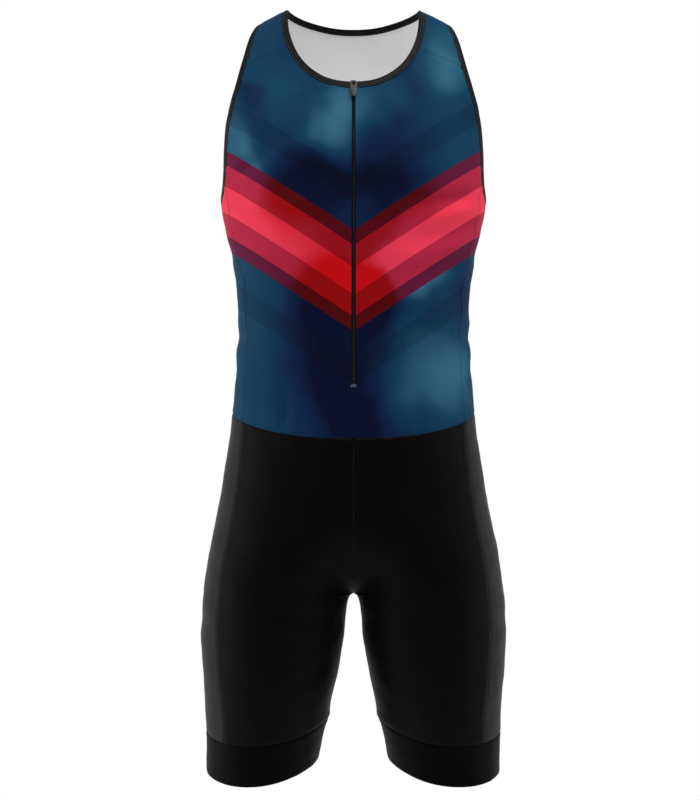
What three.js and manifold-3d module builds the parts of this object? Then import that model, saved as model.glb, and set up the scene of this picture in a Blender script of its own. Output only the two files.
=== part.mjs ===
// A sleeveless triathlon suit with short legs, filled out as it is when worn.
// It is cut from knitted stretch cloth: a front panel with a half-length zip, a back panel that runs over
// the shoulders to a seam on the front of each strap, side panels, shorts and two leg bands.
// The neck and the armholes are bound with folded tape.
// Units are millimetres. +Z is up, the front faces -Y and the wearer's left is +X.
// The origin lies midway between the shoulder straps, at the height where they rest on the shoulders.
import * as THREE from "three";
import Module from "manifold-3d";
import { mergeVertices } from "three/addons/utils/BufferGeometryUtils.js";

// Cloth and sewing
const CLOTH = 1.2; // thickness of every cloth wall
const SEAM_GAP = 0.3; // space between two pieces where they are sewn together
const BINDING_WIDTH = 7.4;
const BINDING_THICKNESS = 2.4;

// Heights of the cut. Below the armpit a height is z itself. Above it, the cloth leans in over the
// shoulder as an arch, and its height goes on as an arc: ARCH millimetres for each radian.
const ARMPIT = -236;
const ARCH = 230;
const SHOULDER_LEAN = 8; // how far the top of the strap lies behind the middle of the body
const CROTCH = -714;
const JOIN_TOP = -544; // from here up the two legs are one body
const CROTCH_ARCH = 12; // height of the round top of the gap between the legs
const CROTCH_CURVE = 95; // height over which the centre seam curves under the crotch
const ARMHOLE_CORNER = -198; // where the side seams end in the armhole
const ARMHOLE_BOTTOM = -241;
const BAND_HEIGHT = 50;

// The body of the suit at each height: half its width, its depth in front of and behind the middle,
// and how square the section is (2 is an ellipse).
const LEVELS = [
  { h: -948, halfWidth: 181.4, front: 75, back: 75, square: 2.1 },
  { h: -915, halfWidth: 181.4, front: 78, back: 79, square: 2.1 },
  { h: -886, halfWidth: 181.8, front: 83, back: 85, square: 2.1 },
  { h: -847, halfWidth: 183.6, front: 89, back: 92, square: 2.1 },
  { h: -797, halfWidth: 187.2, front: 94, back: 99, square: 2.12 },
  { h: -760, halfWidth: 188.6, front: 96.5, back: 104, square: 2.15 },
  { h: -714, halfWidth: 185.2, front: 98, back: 111, square: 2.2 },
  { h: -667, halfWidth: 178.8, front: 99, back: 117, square: 2.25 },
  { h: -611, halfWidth: 167.4, front: 101, back: 115, square: 2.3 },
  { h: -555, halfWidth: 158.2, front: 102, back: 107, square: 2.3 },
  { h: -500, halfWidth: 150.2, front: 101.5, back: 98, square: 2.3 },
  { h: -444, halfWidth: 145.8, front: 100.5, back: 92, square: 2.3 },
  { h: -388, halfWidth: 142.6, front: 101.5, back: 93, square: 2.3 },
  { h: -332, halfWidth: 145.2, front: 106, back: 101, square: 2.3 },
  { h: -290, halfWidth: 153, front: 110, back: 108, square: 2.3 },
  { h: -236, halfWidth: 163.8, front: 113, back: 113, square: 2.3 },
  { h: -146, halfWidth: 167.5, front: 112, back: 118, square: 2.3 },
  { h: -56, halfWidth: 171, front: 106, back: 114, square: 2.3 },
  { h: 35, halfWidth: 175, front: 100, back: 104, square: 2.3 },
  { h: 126, halfWidth: 178, front: 96, back: 98, square: 2.3 },
];

// Half the gap between the legs.
const LEG_GAP = [
  { h: -948, half: 48.2 },
  { h: -918, half: 42 },
  { h: -890, half: 36.6 },
  { h: -872, half: 32.2 },
  { h: -847, half: 26.7 },
  { h: -816, half: 19.8 },
  { h: -797, half: 16.4 },
  { h: -779, half: 13.4 },
  { h: -760, half: 11.2 },
  { h: -735, half: 9.2 },
  { h: -714, half: 8.2 },
];

// Where the seams of the side panels run, as an angle round the body: 90 is the middle of the front,
// 180 the side and 270 the middle of the back. On a leg, 0 is the inside.
const SIDE_SEAMS = [
  { h: -886, front: 129, back: 229 },
  { h: -868, front: 129.5, back: 228.5 },
  { h: -820, front: 134.5, back: 225 },
  { h: -760, front: 136, back: 224 },
  { h: -714, front: 136.5, back: 223.5 },
  { h: -660, front: 140, back: 220 },
  { h: -611, front: 145, back: 215 },
  { h: -560, front: 148.5, back: 211.5 },
  { h: -519, front: 150.5, back: 209.5 },
  { h: -486, front: 150.5, back: 209.5 },
  { h: -420, front: 152, back: 208 },
  { h: -350, front: 154.5, back: 205.5 },
  { h: -290, front: 157.5, back: 202.5 },
];

// The edge of the armhole above its corners: the angle over the shoulder (0 is the armpit at the front,
// 90 the top of the strap, 180 the armpit at the back) and the distance from the middle of the body.
const ARMHOLE_EDGE = [
  { turn: 3, x: 156.6 },
  { turn: 12.5, x: 154.6 },
  { turn: 23, x: 152.8 },
  { turn: 34, x: 144.5 },
  { turn: 47, x: 132.5 },
  { turn: 65, x: 122 },
  { turn: 90, x: 111.5 },
  { turn: 112, x: 110 },
  { turn: 132, x: 117 },
  { turn: 148, x: 130 },
  { turn: 160, x: 143 },
  { turn: 170, x: 152.5 },
  { turn: 177, x: 156.6 },
];

// The neckline: half its width at the top of the straps, its drop at the front and at the back, and
// how square each curve is.
const NECK_HALF_WIDTH = 88;
const NECK_DROP = { front: 110.5, back: 13 };
const NECK_SQUARE = { front: 2.3, back: 2.1 };
const SHOULDER_SEAM_TURN = 48; // angle over the shoulder of the seam across the front of the strap

// The zip
const ZIP_BOTTOM = -457;
const ZIP_HALF_WIDTH = { top: 2.1, bottom: 2.9 };
const SLIDER = { width: 8, top: 7, bottom: -4.2, thickness: 2.6, clearance: 0.9 };
const HINGE_HEIGHT = 4.5; // the pull tab's axis above the cut edge of the neckline
const HINGE_LIFT = 1.25; // and in front of the slider's face
const BRIDGE = { width: 2, bore: 1.2, rim: 0.95 };
const PULL_TAB = { topWidth: 8.6, tipWidth: 4.4, length: 19.5, thickness: 1.2, slotWidth: 3.2, slotLength: 3.2 };
const ZIP_STOP = { width: 5, height: 3.2, thickness: 1.4 };

// How finely each piece is divided
const COLUMNS = { front: 10, side: 6, back: 10, shorts: 10, shortsSide: 6 };
const ROWS = { trunk: 10, chest: 4, frontNeck: 7, shoulderBlade: 7, backNeck: 7, overShoulder: 6 };
const LEG_ROWS = { hip: 10, thigh: 8, band: 2 };

const RAD = Math.PI / 180;
const { lerp, clamp } = THREE.MathUtils;
const signedPower = (value, power) => Math.sign(value) * Math.abs(value) ** power;
const steps = (count) => Array.from({ length: count + 1 }, (_, i) => i / count);

// A smooth curve through the rows of a table, as a function of one of its columns.
function curveThrough(rows, key, column) {
  const at = rows.map((row) => row[key]);
  const value = rows.map((row) => row[column]);
  const last = rows.length - 1;
  const chord = at.slice(1).map((k, i) => (value[i + 1] - value[i]) / (k - at[i]));
  const slope = value.map((_, i) => {
    if (i === 0) return chord[0];
    if (i === last) return chord[last - 1];
    const before = at[i] - at[i - 1];
    const after = at[i + 1] - at[i];
    return (chord[i - 1] * after + chord[i] * before) / (before + after);
  });
  return (k) => {
    const inside = clamp(k, at[0], at[last]);
    let i = 0;
    while (i < last - 1 && inside > at[i + 1]) i += 1;
    const span = at[i + 1] - at[i];
    const t = (inside - at[i]) / span;
    return (
      value[i] * (1 + 2 * t) * (1 - t) ** 2 +
      slope[i] * span * t * (1 - t) ** 2 +
      value[i + 1] * t * t * (3 - 2 * t) +
      slope[i + 1] * span * t * t * (t - 1)
    );
  };
}

const halfWidthAt = curveThrough(LEVELS, "h", "halfWidth");
const frontDepthAt = curveThrough(LEVELS, "h", "front");
const backDepthAt = curveThrough(LEVELS, "h", "back");
const squareAt = curveThrough(LEVELS, "h", "square");
const legGapAt = curveThrough(LEG_GAP, "h", "half");
const armholeX = curveThrough(ARMHOLE_EDGE, "turn", "x");

// The height of the top of the shoulder above the armpit, which falls from the neck outwards.
const shoulderHeight = (x) => 66.8 - 0.6 * Math.hypot(x, 60) - ARMPIT;

// One level of the suit. The section has a middle line at the front and back of each leg, which moves
// to the middle of the body above the crotch. Outside it lies a half superellipse. Inside it, at the
// crotch and below, lies the other half, and above the crotch that part fills out until the front runs
// straight across. firstAngle is where the section meets the plane between the two halves.
function sectionAt(h) {
  const halfWidth = halfWidthAt(h);
  const square = squareAt(h);
  const rise = clamp((h - CROTCH) / (JOIN_TOP - CROTCH), 0, 1);
  const middle = ((halfWidth + legGapAt(h)) / 2) * (1 - rise * rise * (3 - 2 * rise));
  const down = clamp((CROTCH - h) / CROTCH_ARCH, 0, 1);
  const inside = legGapAt(h) * Math.sqrt(1 - (1 - down) ** 2);
  const up = clamp((h - CROTCH) / CROTCH_CURVE, 0, 1);
  const filled = (1 - (1 - up) ** 2) ** square;
  const firstAngle = 90 * (1 - middle / ((halfWidth + legGapAt(h)) / 2));
  return { halfWidth, middle, inside, filled, square, firstAngle, front: frontDepthAt(h), back: backDepthAt(h) };
}

// A point of the suit's outer face, on the wearer's left half. The angle runs from the inside of the
// leg, or the middle of the front, round the side to the back. Above the armpit the section leans in
// along a quarter arch to the top of the shoulder.
function suitPoint(angle, h) {
  const s = sectionAt(h);
  const turn = Math.max(0, (h - ARMPIT) / ARCH);
  const turned = THREE.MathUtils.euclideanModulo(angle, 360);
  const front = turned < 180;
  const round = front ? turned : 360 - turned;
  let x = s.middle - (s.halfWidth - s.middle) * signedPower(Math.cos(round * RAD), 2 / s.square);
  let share = Math.abs(Math.sin(round * RAD)) ** (2 / s.square);
  if (round < 90 && s.firstAngle < 90) {
    const local = ((round - s.firstAngle) / (90 - s.firstAngle)) * 90 * RAD;
    const raised = Math.sin(local) ** 4;
    x = lerp(s.middle, s.inside, Math.cos(local) ** (2 / s.square));
    if (local < 0) x = -x;
    share = (raised + s.filled * (1 - raised)) ** (0.5 / s.square);
  }
  const depth = front ? -s.front : s.back;
  return new THREE.Vector3(
    x,
    SHOULDER_LEAN * (1 - Math.cos(turn)) + depth * share * Math.cos(turn),
    turn > 0 ? ARMPIT + shoulderHeight(x) * Math.sin(turn) : h,
  );
}

// The outward direction there, from the slopes of the face both ways. On the centre seam of the
// shorts it lies in the middle plane, so that the two halves meet evenly.
function suitNormal(angle, h, onCentreSeam = false) {
  if (onCentreSeam && Math.abs(h - CROTCH) < 0.01) return new THREE.Vector3(0, 0, -1);
  const round = suitPoint(angle + 0.3, h).sub(suitPoint(angle - 0.3, h));
  const below = h > CROTCH && h < CROTCH + 0.5 ? 0 : 0.4;
  const up = suitPoint(angle, h + 0.4).sub(suitPoint(angle, h - below));
  const normal = round.cross(up);
  if (onCentreSeam) normal.x = 0;
  return normal.normalize();
}

const onSuit = (angle, h, onCentreSeam = false) => ({
  point: suitPoint(angle, h),
  normal: suitNormal(angle, h, onCentreSeam),
});
const mirrored = ({ point, normal }) => ({
  point: new THREE.Vector3(-point.x, point.y, point.z),
  normal: new THREE.Vector3(-normal.x, normal.y, normal.z),
});
const mirroredRows = (rows) => rows.map((row) => row.map(mirrored));

// The angle from the middle of the front or back at which the trunk is x wide.
function sideways(x, h) {
  const share = clamp(x / halfWidthAt(h), 0, 1);
  return Math.asin(share ** (squareAt(h) / 2)) / RAD;
}
const armholeAngle = (turn) => sideways(armholeX(turn), ARMPIT + ARCH * Math.min(turn, 180 - turn) * RAD);
const cornerTurn = (ARMHOLE_CORNER - ARMPIT) / ARCH / RAD;
const seamTop = {
  h: ARMHOLE_CORNER,
  front: 90 + armholeAngle(cornerTurn),
  back: 270 - armholeAngle(180 - cornerTurn),
};
const seamAt = {
  front: curveThrough([...SIDE_SEAMS, seamTop], "h", "front"),
  back: curveThrough([...SIDE_SEAMS, seamTop], "h", "back"),
};
const WAIST_SEAM = { front: 150.5, back: 209.5 };
const BAND_SEAM = { front: 129, back: 229 };

// The seam lines that run round the suit, as heights at an angle.
const waistHeight = (angle) => -493.5 - 9 * Math.sin(angle * RAD) ** 2 - 16.5 * Math.sin(angle * RAD);
const hemHeight = (angle) =>
  -927.5 + 7.5 * Math.cos(angle * RAD) - 10 * Math.sin(angle * RAD) ** 2 - 4.5 * Math.sin(angle * RAD);
const bandHeight = (angle) => hemHeight(angle) + BAND_HEIGHT;

// A point of the neckline's cut edge. swing runs from 0 in the middle to 90 at the top of the strap.
function neckEdge(swing, face) {
  const square = NECK_SQUARE[face];
  const x = NECK_HALF_WIDTH * Math.sin(swing * RAD) ** (2 / square);
  const top = ARMPIT + shoulderHeight(NECK_HALF_WIDTH);
  const z = top - NECK_DROP[face] * Math.max(0, Math.cos(swing * RAD)) ** (2 / square);
  const turn = Math.asin(Math.min(1, (z - ARMPIT) / shoulderHeight(x))) / RAD;
  return { x, turn, h: ARMPIT + ARCH * turn * RAD };
}

// The swing at which the front neckline meets the shoulder seam, by halving.
function swingAtShoulderSeam() {
  let low = 0;
  let high = 90;
  for (let i = 0; i < 40; i += 1) {
    const middle = (low + high) / 2;
    if (neckEdge(middle, "front").turn < SHOULDER_SEAM_TURN) low = middle;
    else high = middle;
  }
  return low;
}

// Points of the neckline between two swings, at equal lengths along it.
function evenNeckEdge(face, from, to, count) {
  const swings = steps(400).map((t) => lerp(from, to, t));
  const places = swings.map((swing) => {
    const { x, h } = neckEdge(swing, face);
    return suitPoint(face === "front" ? 90 + sideways(x, h) : 270 - sideways(x, h), h);
  });
  const lengths = [0];
  places.slice(1).forEach((place, i) => lengths.push(lengths[i] + place.distanceTo(places[i])));
  return steps(count).map((t) => {
    const reached = lengths.findIndex((length) => length >= t * lengths.at(-1) - 1e-9);
    return neckEdge(swings[reached], face);
  });
}

// A sheet of cloth: points with normals joined by quads. Points in the same place are shared.
class Sheet {
  constructor() {
    this.points = [];
    this.normals = [];
    this.quads = [];
    this.places = new Map();
  }

  vertex({ point, normal }) {
    const key = point.toArray().map((v) => Math.round(v * 1e3)).join(",");
    if (!this.places.has(key)) {
      this.places.set(key, this.points.length);
      this.points.push(point.clone());
      this.normals.push(normal.clone());
    }
    return this.places.get(key);
  }

  // Adds a grid of rows, turning each quad so that it faces along the cloth's normals.
  add(rows, closed = false) {
    const ids = rows.map((row) => row.map((v) => this.vertex(v)));
    for (let r = 0; r + 1 < ids.length; r += 1) {
      const across = ids[r].length;
      for (let c = 0; c < (closed ? across : across - 1); c += 1) {
        const d = (c + 1) % across;
        const quad = [ids[r][c], ids[r][d], ids[r + 1][d], ids[r + 1][c]];
        const [a, b, e, f] = quad.map((i) => this.points[i]);
        const facing = new THREE.Vector3()
          .crossVectors(e.clone().sub(a), f.clone().sub(b))
          .dot(this.normals[quad[0]]);
        this.quads.push(facing < 0 ? quad.reverse() : quad);
      }
    }
    return this;
  }

  // The closed wall: the outer face drawn back by half the seam gap at its edges, the inner face one
  // cloth thickness behind it, and a rim along every edge.
  wall(thickness = CLOTH, edgeGap = SEAM_GAP / 2) {
    const edges = new Map();
    for (const quad of this.quads) {
      quad.forEach((a, i) => edges.set(`${a},${quad[(i + 1) % 4]}`, [a, quad[(i + 1) % 4]]));
    }
    const rim = [...edges.values()].filter(([a, b]) => !edges.has(`${b},${a}`));
    const inward = new Map();
    for (const [a, b] of rim) {
      const along = this.points[b].clone().sub(this.points[a]).normalize();
      for (const i of [a, b]) {
        const aside = this.normals[i].clone().cross(along).normalize();
        inward.set(i, [...(inward.get(i) ?? []), aside]);
      }
    }
    const outer = this.points.map((p) => p.clone());
    for (const [i, [first, second]] of inward) {
      const both = first.clone().add(second ?? first);
      outer[i].addScaledVector(both, edgeGap / Math.max(0.5, 1 + first.dot(second ?? first)));
    }
    const inner = outer.map((p, i) => p.clone().addScaledVector(this.normals[i], -thickness));
    const count = outer.length;
    const faces = [];
    for (const [a, b, c, d] of this.quads) {
      const acrossAC = outer[a].distanceTo(outer[c]) <= outer[b].distanceTo(outer[d]);
      const halves = acrossAC ? [[a, b, c], [a, c, d]] : [[a, b, d], [b, c, d]];
      for (const [i, j, k] of halves) faces.push([i, j, k], [k + count, j + count, i + count]);
    }
    for (const [a, b] of rim) faces.push([b, a, a + count], [b, a + count, b + count]);
    return solidGeometry([...outer, ...inner], faces);
  }
}

function solidGeometry(points, faces) {
  const geometry = new THREE.BufferGeometry();
  geometry.setAttribute("position", new THREE.Float32BufferAttribute(points.flatMap((p) => p.toArray()), 3));
  geometry.setIndex(faces.flat());
  geometry.computeVertexNormals();
  return geometry;
}

// A bound edge: folded tape of flat oval section, carried along an edge of the cloth just outside it.
// The ends of an open one are cut along the zip, in planes across X.
function boundEdge(edge, closed) {
  const w = BINDING_WIDTH / 2;
  const t = BINDING_THICKNESS / 2;
  const profile = [[-w, -t / 2], [0.4 - w, -t], [w - 0.9, -t], [w, -t / 2], [w, t / 2], [w - 0.9, t], [0.4 - w, t], [-w, t / 2]];
  const count = edge.length;
  const middle = edge.reduce((sum, e) => sum.add(e.point), new THREE.Vector3()).divideScalar(count);
  const asides = edge.map(({ normal }, i) => {
    const before = edge[closed ? (i + count - 1) % count : Math.max(0, i - 1)].point;
    const after = edge[closed ? (i + 1) % count : Math.min(count - 1, i + 1)].point;
    const aside = normal.clone().cross(after.clone().sub(before));
    if (!closed && (i === 0 || i === count - 1)) aside.x = 0;
    return aside.normalize();
  });
  const towards = edge.reduce((sum, e, i) => sum + asides[i].dot(middle.clone().sub(e.point)), 0);
  const points = edge.flatMap(({ point, normal }, i) =>
    profile.map(([u, v]) =>
      point
        .clone()
        .addScaledVector(asides[i], Math.sign(towards) * (SEAM_GAP / 2 + w + u))
        .addScaledVector(normal, v - CLOTH / 2),
    ),
  );
  const sides = profile.length;
  const faces = [];
  for (let i = 0; i < (closed ? count : count - 1); i += 1) {
    const j = (i + 1) % count;
    for (let k = 0; k < sides; k += 1) {
      const l = (k + 1) % sides;
      faces.push([i * sides + k, i * sides + l, j * sides + l], [i * sides + k, j * sides + l, j * sides + k]);
    }
  }
  if (!closed) {
    const end = (count - 1) * sides;
    for (let k = 1; k + 1 < sides; k += 1) faces.push([0, k + 1, k], [end, end + k, end + k + 1]);
  }
  if (volumeOf(points, faces) < 0) faces.forEach((face) => face.reverse());
  return solidGeometry(points, faces);
}

const volumeOf = (points, faces) =>
  faces.reduce((sum, [a, b, c]) => sum + points[a].dot(points[b].clone().cross(points[c])) / 6, 0);

// Trunk: front, back and side panels. Rows run up from the waist seam; the side seams share their
// heights, so that neighbouring panels have the same points there.
const zipHalfWidth = (h) => lerp(ZIP_HALF_WIDTH.bottom, ZIP_HALF_WIDTH.top, clamp((h - ZIP_BOTTOM) / 350, 0, 1));

// The front panel's heights above the waist: one row falls on the end of the zip.
function trunkShares() {
  const total = ARMHOLE_CORNER - waistHeight(90);
  const zipShare = (ZIP_BOTTOM - waistHeight(90)) / total;
  const below = 2;
  const lower = steps(below).map((t) => t * zipShare);
  const upper = steps(ROWS.trunk - below).slice(1).map((t) => lerp(zipShare, 1, t));
  return [...lower, ...upper];
}
const TRUNK_SHARES = trunkShares();

// The middle part of the front, from the zip's edge to the side seam, up to the armhole's corner.
function frontTrunkRows() {
  return TRUNK_SHARES.map((v) =>
    steps(COLUMNS.front).map((u) => {
      const h = lerp(waistHeight(lerp(90, WAIST_SEAM.front, u)), ARMHOLE_CORNER, v);
      const zipEdge = 90 + sideways(zipHalfWidth(h), h);
      return onSuit(lerp(zipEdge, seamAt.front(h), u), h);
    }),
  );
}

// A row across the front or back of the chest, from an inner edge x to the armhole.
function chestRow(x, turn, columns) {
  const h = ARMPIT + ARCH * Math.min(turn, 180 - turn) * RAD;
  const inner = sideways(x, h);
  const outer = armholeAngle(turn);
  return steps(columns).map((u) => {
    const aside = lerp(inner, outer, u);
    return onSuit(turn < 90 ? 90 + aside : 270 - aside, h);
  });
}

const firstSwing = Math.asin((ZIP_HALF_WIDTH.top / NECK_HALF_WIDTH) ** (NECK_SQUARE.front / 2)) / RAD;
const lastSwing = swingAtShoulderSeam();
const frontNeck = evenNeckEdge("front", firstSwing, lastSwing, ROWS.frontNeck);
const backNeck = evenNeckEdge("back", 0, 90, ROWS.backNeck);
const overShoulder = evenNeckEdge("front", 90, lastSwing, ROWS.overShoulder).slice(1);

function frontHalfRows() {
  const chest = steps(ROWS.chest)
    .slice(1, -1)
    .map((t) => lerp(cornerTurn, frontNeck[0].turn, t))
    .map((turn) => chestRow(zipHalfWidth(ARMPIT + ARCH * turn * RAD), turn, COLUMNS.front));
  const neck = frontNeck.map(({ x, turn }) => chestRow(x, turn, COLUMNS.front));
  return [...frontTrunkRows(), ...chest, ...neck];
}

function backHalfRows() {
  const trunk = TRUNK_SHARES.map((v) =>
    steps(COLUMNS.back).map((u) => {
      const h = lerp(waistHeight(lerp(270, WAIST_SEAM.back, u)), ARMHOLE_CORNER, v);
      return onSuit(lerp(270, seamAt.back(h), u), h);
    }),
  );
  const blade = steps(ROWS.shoulderBlade)
    .slice(1, -1)
    .map((t) => chestRow(0, lerp(180 - cornerTurn, 180 - backNeck[0].turn, t), COLUMNS.back));
  const neck = backNeck.map(({ x, turn }) => chestRow(x, 180 - turn, COLUMNS.back));
  const strap = overShoulder.map(({ x, turn }) => chestRow(x, turn, COLUMNS.back));
  return [...trunk, ...blade, ...neck, ...strap];
}

// The side panel's top edge is the bottom of the armhole, a half oval between its two corners.
function sidePanelRows() {
  const across = steps(COLUMNS.side).map((t) => Math.sin((t - 0.5) * Math.PI));
  const rise = ARMHOLE_CORNER - ARMHOLE_BOTTOM;
  return TRUNK_SHARES.map((v) =>
    across.map((w) => {
      const u = (w + 1) / 2;
      const top = ARMHOLE_BOTTOM + rise * (1 - Math.sqrt(Math.max(0, 1 - w * w)));
      const h = lerp(waistHeight(lerp(WAIST_SEAM.front, WAIST_SEAM.back, u)), top, v);
      return onSuit(lerp(seamAt.front(h), seamAt.back(h), u), h);
    }),
  );
}

const frontHalf = frontHalfRows();
const backHalf = backHalfRows();
const sidePanel = sidePanelRows();

function frontPanel() {
  const rightHalf = mirroredRows(frontHalf);
  const rowsBelowZip = 3;
  const bridge = frontHalf.slice(0, rowsBelowZip).map((row, r) => [rightHalf[r][0], row[0]]);
  return new Sheet().add(frontHalf).add(rightHalf).add(bridge).wall();
}

const backPanel = () => new Sheet().add(backHalf).add(mirroredRows(backHalf)).wall();

// Bindings follow the panels' own edge points.
function neckBindingEdge() {
  const frontEdge = frontHalf.slice(-frontNeck.length).map((row) => row[0]);
  const restOfEdge = backHalf.slice(-(backNeck.length + overShoulder.length)).map((row) => row[0]);
  const left = [...frontEdge, ...restOfEdge.reverse().slice(1)];
  const [end, next] = left;
  const clear = next.point.clone().sub(end.point).setLength(SEAM_GAP);
  left[0] = { point: end.point.clone().add(clear), normal: end.normal };
  return [...left, ...left.slice(0, -1).reverse().map(mirrored)];
}

function armholeBindingEdge() {
  const outerEdge = (rows) => rows.map((row) => row.at(-1));
  const bottom = sidePanel.at(-1);
  const up = outerEdge(backHalf.slice(TRUNK_SHARES.length));
  const down = outerEdge(frontHalf.slice(TRUNK_SHARES.length)).reverse();
  return [...bottom, ...up, ...down.slice(1)];
}

// Shorts: rows run down from the waist seam to the crotch, closer together towards it, then down the
// leg to the band.
function shortsRows(columns, angleAt, waistAngle, bandAngle, centreColumn) {
  const rowAt = (heightAt, crotchRow = false) =>
    steps(columns).map((u, c) => {
      const h = crotchRow ? CROTCH : heightAt(u);
      const onCentre = c === centreColumn && h >= CROTCH && h < JOIN_TOP;
      return onSuit(angleAt(u, h), h, onCentre);
    });
  const hip = steps(LEG_ROWS.hip)
    .slice(0, -1)
    .map((t) => rowAt((u) => lerp(CROTCH, waistHeight(waistAngle(u)), (1 - t) ** 2)));
  const thigh = steps(LEG_ROWS.thigh)
    .slice(1)
    .map((t) => rowAt((u) => lerp(CROTCH, bandHeight(bandAngle(u)), t ** 1.6)));
  return [...hip, rowAt(null, true), ...thigh];
}

const shortsFront = shortsRows(
  COLUMNS.shorts,
  (u, h) => lerp(sectionAt(h).firstAngle, seamAt.front(h), u),
  (u) => lerp(90, WAIST_SEAM.front, u),
  (u) => lerp(0, BAND_SEAM.front, u),
  0,
);
const shortsSide = shortsRows(
  COLUMNS.shortsSide,
  (u, h) => lerp(seamAt.front(h), seamAt.back(h), u),
  (u) => lerp(WAIST_SEAM.front, WAIST_SEAM.back, u),
  (u) => lerp(BAND_SEAM.front, BAND_SEAM.back, u),
  -1,
);
const shortsBack = shortsRows(
  COLUMNS.shorts,
  (u, h) => lerp(seamAt.back(h), 360 - sectionAt(h).firstAngle, u),
  (u) => lerp(WAIST_SEAM.back, 270, u),
  (u) => lerp(BAND_SEAM.back, 360, u),
  COLUMNS.shorts,
);

// The leg band is one closed strip, with the panels' own points along its top edge.
function legBandRows() {
  const around = [
    ...steps(COLUMNS.shorts).map((u) => lerp(0, BAND_SEAM.front, u)),
    ...steps(COLUMNS.shortsSide).slice(1).map((u) => lerp(BAND_SEAM.front, BAND_SEAM.back, u)),
    ...steps(COLUMNS.shorts).slice(1, -1).map((u) => lerp(BAND_SEAM.back, 360, u)),
  ];
  const top = [...shortsFront.at(-1), ...shortsSide.at(-1).slice(1), ...shortsBack.at(-1).slice(1, -1)];
  const lower = steps(LEG_ROWS.band)
    .slice(1)
    .map((t) => around.map((angle) => onSuit(angle, lerp(bandHeight(angle), hemHeight(angle), t))));
  return [top, ...lower];
}
const legBand = legBandRows();

// The zip's own strip, in the slit of the front panel, up through the binding to the open edge.
function zipStrip() {
  const top = frontNeck[0].h + BINDING_WIDTH;
  const rows = steps(16).map((t) => {
    const h = lerp(ZIP_BOTTOM, top, t);
    const angle = 90 + sideways(zipHalfWidth(h), h);
    const edge = onSuit(angle, h);
    return [mirrored(edge), edge];
  });
  return new Sheet().add(rows).wall();
}

// The slider's place: x across, y up along the cloth and z out of it, from the neckline's cut edge.
function placeOnFront(h) {
  const { point, normal } = onSuit(90, h);
  const across = new THREE.Vector3(1, 0, 0);
  const up = normal.clone().cross(across).normalize();
  return new THREE.Matrix4().makeBasis(across, up, normal).setPosition(point);
}

const wasm = await Module();
wasm.setup();

// A closed three.js geometry as a manifold-3d solid, and back.
function asSolid(geometry) {
  const bare = geometry.clone();
  bare.deleteAttribute("normal");
  bare.deleteAttribute("uv");
  const merged = mergeVertices(bare, 1e-4);
  return new wasm.Manifold(
    new wasm.Mesh({
      numProp: 3,
      vertProperties: new Float32Array(merged.attributes.position.array),
      triVerts: new Uint32Array(merged.index.array),
    }),
  );
}

function asGeometry(solid) {
  const mesh = solid.getMesh();
  const geometry = new THREE.BufferGeometry();
  geometry.setAttribute("position", new THREE.Float32BufferAttribute(mesh.vertProperties, 3));
  geometry.setIndex([...mesh.triVerts]);
  geometry.computeVertexNormals();
  return geometry;
}

const extruded = (shape, depth) =>
  new THREE.ExtrudeGeometry(shape, { depth, bevelEnabled: false, curveSegments: 10 });

const sliderFace = SLIDER.clearance + SLIDER.thickness;
const hingeOut = sliderFace + HINGE_LIFT;

// The slider: a plate with cut corners, and over it the bridge that holds the pull tab.
function slider() {
  const w = SLIDER.width / 2;
  const plate = new THREE.Shape();
  plate.moveTo(-w * 0.62, SLIDER.bottom);
  plate.lineTo(w * 0.62, SLIDER.bottom);
  plate.lineTo(w * 0.8, 0);
  plate.lineTo(w, SLIDER.top - 3.4);
  plate.lineTo(w * 0.75, SLIDER.top);
  plate.lineTo(-w * 0.75, SLIDER.top);
  plate.lineTo(-w, SLIDER.top - 3.4);
  plate.lineTo(-w * 0.8, 0);
  const body = extruded(plate, SLIDER.thickness).translate(0, 0, SLIDER.clearance);

  const outer = BRIDGE.bore + BRIDGE.rim;
  const foot = HINGE_LIFT + 0.6;
  const arch = new THREE.Shape();
  arch.moveTo(-outer, -foot);
  arch.lineTo(outer, -foot);
  arch.lineTo(outer, 0);
  arch.absarc(0, 0, outer, 0, Math.PI, false);
  arch.lineTo(-outer, -foot);
  arch.holes.push(new THREE.Path().absarc(0, 0, BRIDGE.bore, 0, 2 * Math.PI, true));
  const bridge = extruded(arch, BRIDGE.width).translate(0, 0, -BRIDGE.width / 2);
  // The arch is drawn in its side view: across the drawing is up the cloth, and up it is out.
  const standing = new THREE.Matrix4().makeBasis(
    new THREE.Vector3(0, 1, 0),
    new THREE.Vector3(0, 0, 1),
    new THREE.Vector3(1, 0, 0),
  );
  bridge.applyMatrix4(standing).translate(0, HINGE_HEIGHT, hingeOut);
  return asGeometry(asSolid(body).add(asSolid(bridge)));
}

// The pull tab hangs from its cross bar, which runs through the bridge. It is drawn about its hinge.
function pullTab() {
  const bar = PULL_TAB.thickness / 2;
  const top = PULL_TAB.topWidth / 2;
  const tip = PULL_TAB.tipWidth / 2;
  const end = bar - PULL_TAB.length;
  const plate = new THREE.Shape();
  plate.moveTo(-top, bar);
  plate.lineTo(-top, bar - 9);
  plate.quadraticCurveTo(-top, end + 4, -tip, end + 0.8);
  plate.quadraticCurveTo(0, end - 0.6, tip, end + 0.8);
  plate.quadraticCurveTo(top, end + 4, top, bar - 9);
  plate.lineTo(top, bar);
  const s = PULL_TAB.slotWidth / 2;
  const slot = new THREE.Path();
  slot.moveTo(-s, -bar);
  slot.lineTo(-s, -bar - PULL_TAB.slotLength);
  slot.lineTo(s, -bar - PULL_TAB.slotLength);
  slot.lineTo(s, -bar);
  plate.holes.push(slot);
  return extruded(plate, PULL_TAB.thickness).translate(0, 0, -PULL_TAB.thickness / 2);
}

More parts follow.
